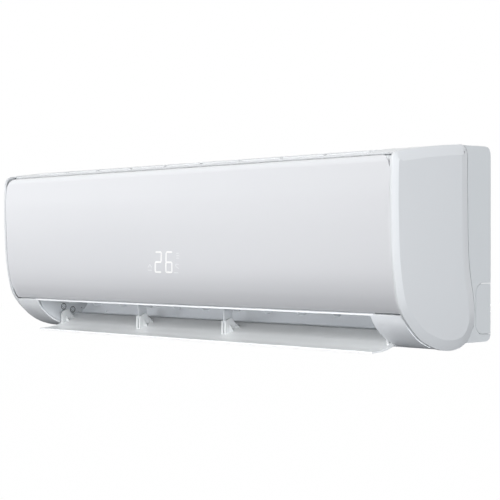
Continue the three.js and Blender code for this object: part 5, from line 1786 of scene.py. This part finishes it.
@dataclass
class Studio:
    """White room, soft lamps and the photograph's camera.

    Attributes:
        camera_at: Camera's place in metres.
        turn: Its turn to the left from facing the wall, in degrees.
        lens: Its lens in millimetres.
        sensor: Width of its sensor in millimetres.
        walls: Strength of the room's light from its walls.
        ceiling: Strength of its light from above.
        floor_z: Height of the floor in metres.
        floor_reach: Half the floor's width in metres.
        floor_white: Share of the floor's own white in the camera's view of it.
        floor_glow: Strength of that white.
    """

    camera_at: Spot = (1.47538, -1.47485, -0.04271)
    turn: float = 45.788
    lens: float = 95.69
    sensor: float = 36.0
    walls: float = 0.38
    ceiling: float = 0.12
    floor_z: float = -1.6
    floor_reach: float = 30.0
    floor_white: float = 0.93
    floor_glow: float = 1.07

    def build(self) -> None:
        """Builds the camera, the room, the floor and the lamps."""
        scene = bpy.context.scene
        scene.view_settings.view_transform = "Standard"
        data = bpy.data.cameras.new("photo_camera")
        data.lens = self.lens
        data.sensor_width = self.sensor
        camera = linked("photo_camera", data)
        camera.location = self.camera_at
        camera.rotation_euler = (math.pi / 2, 0.0, math.radians(self.turn))
        scene.camera = camera
        self._room()
        self._floor()
        pieces = [obj.name for obj in bpy.data.objects if obj.type == "MESH"]
        self._lamp("lamp_front", (0.3, -2.3, 1.6), (1.6, 1.6), 53.0, "#ffffff")
        # The side and back lamps would wash out the panel's rolled lower edge, so they light all
        # but the panel's face.
        casing = tuple(name for name in pieces if name != "panel_pearl_face")
        self._lamp("lamp_right", (2.6, -0.9, 0.1), (1.4, 1.4), 39.0, "#fafcff", only=casing)
        self._lamp("lamp_back", (-0.8, 2.6, 0.3), (1.6, 1.6), 42.0, "#ffffff", only=casing)
        self._lamp("lamp_low_left", (-1.1, -1.6, -0.3), (0.7, 0.7), 9.0, "#fdfdff")
        # The open outlet lies in the lip's shade, so low lamps of its own light what is in it.
        # The last lamp lights the frame's lower corners.
        outlet = tuple(name for name in pieces if name.startswith(OUTLET_PIECES))
        self._lamp("lamp_vane", (0.45, -1.35, -0.06), (0.5, 0.08), 5.5, "#ffffff",
                   only=("vane_blade",))
        self._lamp("lamp_outlet", (0.45, -1.35, -0.02), (0.5, 0.14), 2.0, "#ffffff", only=outlet)
        self._lamp("lamp_duct", (0.0, -1.3, -0.22), (0.7, 0.12), 7.0, "#f4f7ff",
                   only=("rear_chassis_moulded", "drain_pan_moulded", "louver_link_moulded"))
        self._lamp("lamp_corner", (1.7, -1.2, -0.3), (0.5, 0.5), 10.0, "#f4f7ff",
                   only=("front_frame_moulded",))
        LOG.info("studio: camera at %s, turned %.2f degrees", self.camera_at, self.turn)

    def _seen_white(self, tree: bpy.types.NodeTree) -> bpy.types.NodeSocket:
        """Finds the rays that show the background itself: in the view, in gloss or through glass.

        Args:
            tree: The room's tree.

        Returns:
            1 for those rays, 0 for all others.
        """
        path = put(tree, "ShaderNodeLightPath").outputs
        seen = path["Is Camera Ray"]
        for kind in ("Is Glossy Ray", "Is Transmission Ray"):
            seen = put(tree, "ShaderNodeMath", {0: seen, 1: path[kind]},
                       operation="MAXIMUM").outputs[0]
        return seen

    def _room(self) -> None:
        """Lights the unit from all sides and shows as white."""
        world = blank(bpy.data.worlds, "white_room")
        bpy.context.scene.world = world
        tree = world.node_tree
        way = put(tree, "ShaderNodeTexCoord").outputs["Generated"]
        height = put(tree, "ShaderNodeSeparateXYZ", {0: way}).outputs["Z"]
        # The room's walls are lighter than its ceiling.
        level = put(tree, "ShaderNodeMapRange", {
            "Value": height, "To Min": self.walls, "To Max": self.ceiling})
        soft = put(tree, "ShaderNodeBackground", {
            "Color": linear("#f3f6fd"), "Strength": level.outputs[0]})
        white = put(tree, "ShaderNodeBackground", {"Color": WHITE, "Strength": 1.0})
        mix = put(tree, "ShaderNodeMixShader", {
            0: self._seen_white(tree), 1: soft.outputs[0], 2: white.outputs[0]})
        put(tree, "ShaderNodeOutputWorld", {"Surface": mix.outputs[0]})

    def _floor(self) -> None:
        """Pale floor, well below the unit, that keeps a trace of its shadow."""
        data = bpy.data.meshes.new("studio_floor")
        reach = self.floor_reach
        corners = [(-reach, -reach), (reach, -reach), (reach, reach), (-reach, reach)]
        data.from_pydata([(*corner, self.floor_z) for corner in corners], [], [(0, 1, 2, 3)])
        floor = linked("studio_floor", data)
        pale = blank(bpy.data.materials, "pale_floor")
        tree = pale.node_tree
        matt = put(tree, "ShaderNodeBsdfDiffuse", {"Color": linear("#77797b")})
        glow = put(tree, "ShaderNodeEmission", {"Color": WHITE, "Strength": self.floor_glow})
        seen = put(tree, "ShaderNodeLightPath").outputs["Is Camera Ray"]
        share = put(tree, "ShaderNodeMath", {0: seen, 1: self.floor_white}, operation="MULTIPLY")
        mix = put(tree, "ShaderNodeMixShader", {
            0: share.outputs[0], 1: matt.outputs[0], 2: glow.outputs[0]})
        put(tree, "ShaderNodeOutputMaterial", {"Surface": mix.outputs[0]})
        data.materials.append(pale)

    def _lamp(self, name: str, spot: Spot, size: Pair, power: float, colour: str,
              only: tuple[str, ...] = ()) -> None:
        """Adds a soft box that faces the unit.

        Args:
            name: Its name.
            spot: Its place in metres.
            size: Its width and height in metres.
            power: Its power in watts.
            colour: Its sRGB colour.
            only: Names of the pieces that it lights, where it doesn't light all.
        """
        data = bpy.data.lights.new(name, "AREA")
        data.shape = "RECTANGLE"
        data.size, data.size_y = size
        data.energy = power
        data.color = linear(colour)[:3]
        lamp = linked(name, data)
        lamp.location = spot
        lamp.visible_glossy = False
        # Its long side lies along the unit's front, as nearly as it can while it faces the unit.
        back = (Vector(spot) - Vector(LAMP_AIM)).normalized()
        side = (Vector((1.0, 0.0, 0.0)) - back * back.x).normalized()
        lamp.rotation_euler = Matrix((side, back.cross(side), back)).transposed().to_euler()
        if only:
            lit = bpy.data.collections.new(f"{name}_lights")
            for piece in only:
                lit.objects.link(bpy.data.objects[piece])
            lamp.light_linking.receiver_collection = lit


# ============================ The whole unit ============================


def packed_forms() -> Iterable[tuple[str, Finish, str]]:
    """Nodes that keep their packed form, with their finishes and bodies."""
    chassis = {
        "front_frame": FRAME_ABS, "rear_chassis": CHASSIS_HIPS, "wall_plate": GALVANISED,
        "knockout_plate_left": CHASSIS_HIPS, "knockout_plate_right": CHASSIS_HIPS,
        "outlet_end_left": DUCT_HIPS, "outlet_end_right": DUCT_HIPS, "drain_pan": DUCT_HIPS,
        "vane_hanger_left": DUCT_HIPS, "vane_hanger_right": DUCT_HIPS,
        "coil_end_plate_left": GALVANISED, "coil_end_plate_right": GALVANISED,
        "vane_motor": ZINC, "louver_motor": ZINC, "fan_bearing": RUBBER, "fan_motor": RESIN,
        "motor_clamp": ZINC, "gas_flare_nut": BRASS, "liquid_flare_nut": BRASS,
        "coil_sensor": COPPER, "drain_plug": RUBBER, "control_box": BOX_PLASTIC,
        "control_box_lid": ZINC, "circuit_board": BOARD, "terminal_block": FAN_ABS,
    }
    for node, finish in chassis.items():
        yield node, finish, "chassis"
    for number in range(1, 12):
        yield f"louver_{number}", DUCT_HIPS, f"louver_{number}"
    yield "louver_link", DUCT_HIPS, "link"
    yield "louver_crank", DUCT_HIPS, "crank"
    yield "fan_shaft", ZINC, "fan"
    yield "motor_shaft", ZINC, "fan"
    yield "emergency_button", FRAME_ABS, "button"
    yield "display_housing", FRAME_ABS, "panel"
    yield "display_board", BOARD, "panel"


def main() -> None:
    """Builds the unit piece by piece, then the studio."""
    logging.basicConfig(level=logging.INFO, format="%(message)s")
    section = Section()
    for node, finish, body in packed_forms():
        finish_piece(moulded_copy(node), finish, body, node)
    rear = Coil().slabs[-1].rows()
    assemblies = [
        EndCovers(section), FrontPanel(section), Display(section), InletGrille(section),
        MainVane(section), CrossFlowFan(), Coil(), CasingScrews(), EndWallPaintedShade(),
        ConnectingPipe("gas_pipe", rear[0][0], drop_x=304, run_z=58, end_x=-330, radius=4.8),
        ConnectingPipe("liquid_pipe", rear[1][0], drop_x=318, run_z=30, end_x=-350, radius=3.2),
        AirFilter("air_filter_left", section, (-367, -53)),
        AirFilter("air_filter_right", section, (-51, 263)),
        Studio(),
    ]
    for assembly in assemblies:
        LOG.info("building %s", type(assembly).__name__)
        assembly.build()


if __name__ == "__main__":
    main()
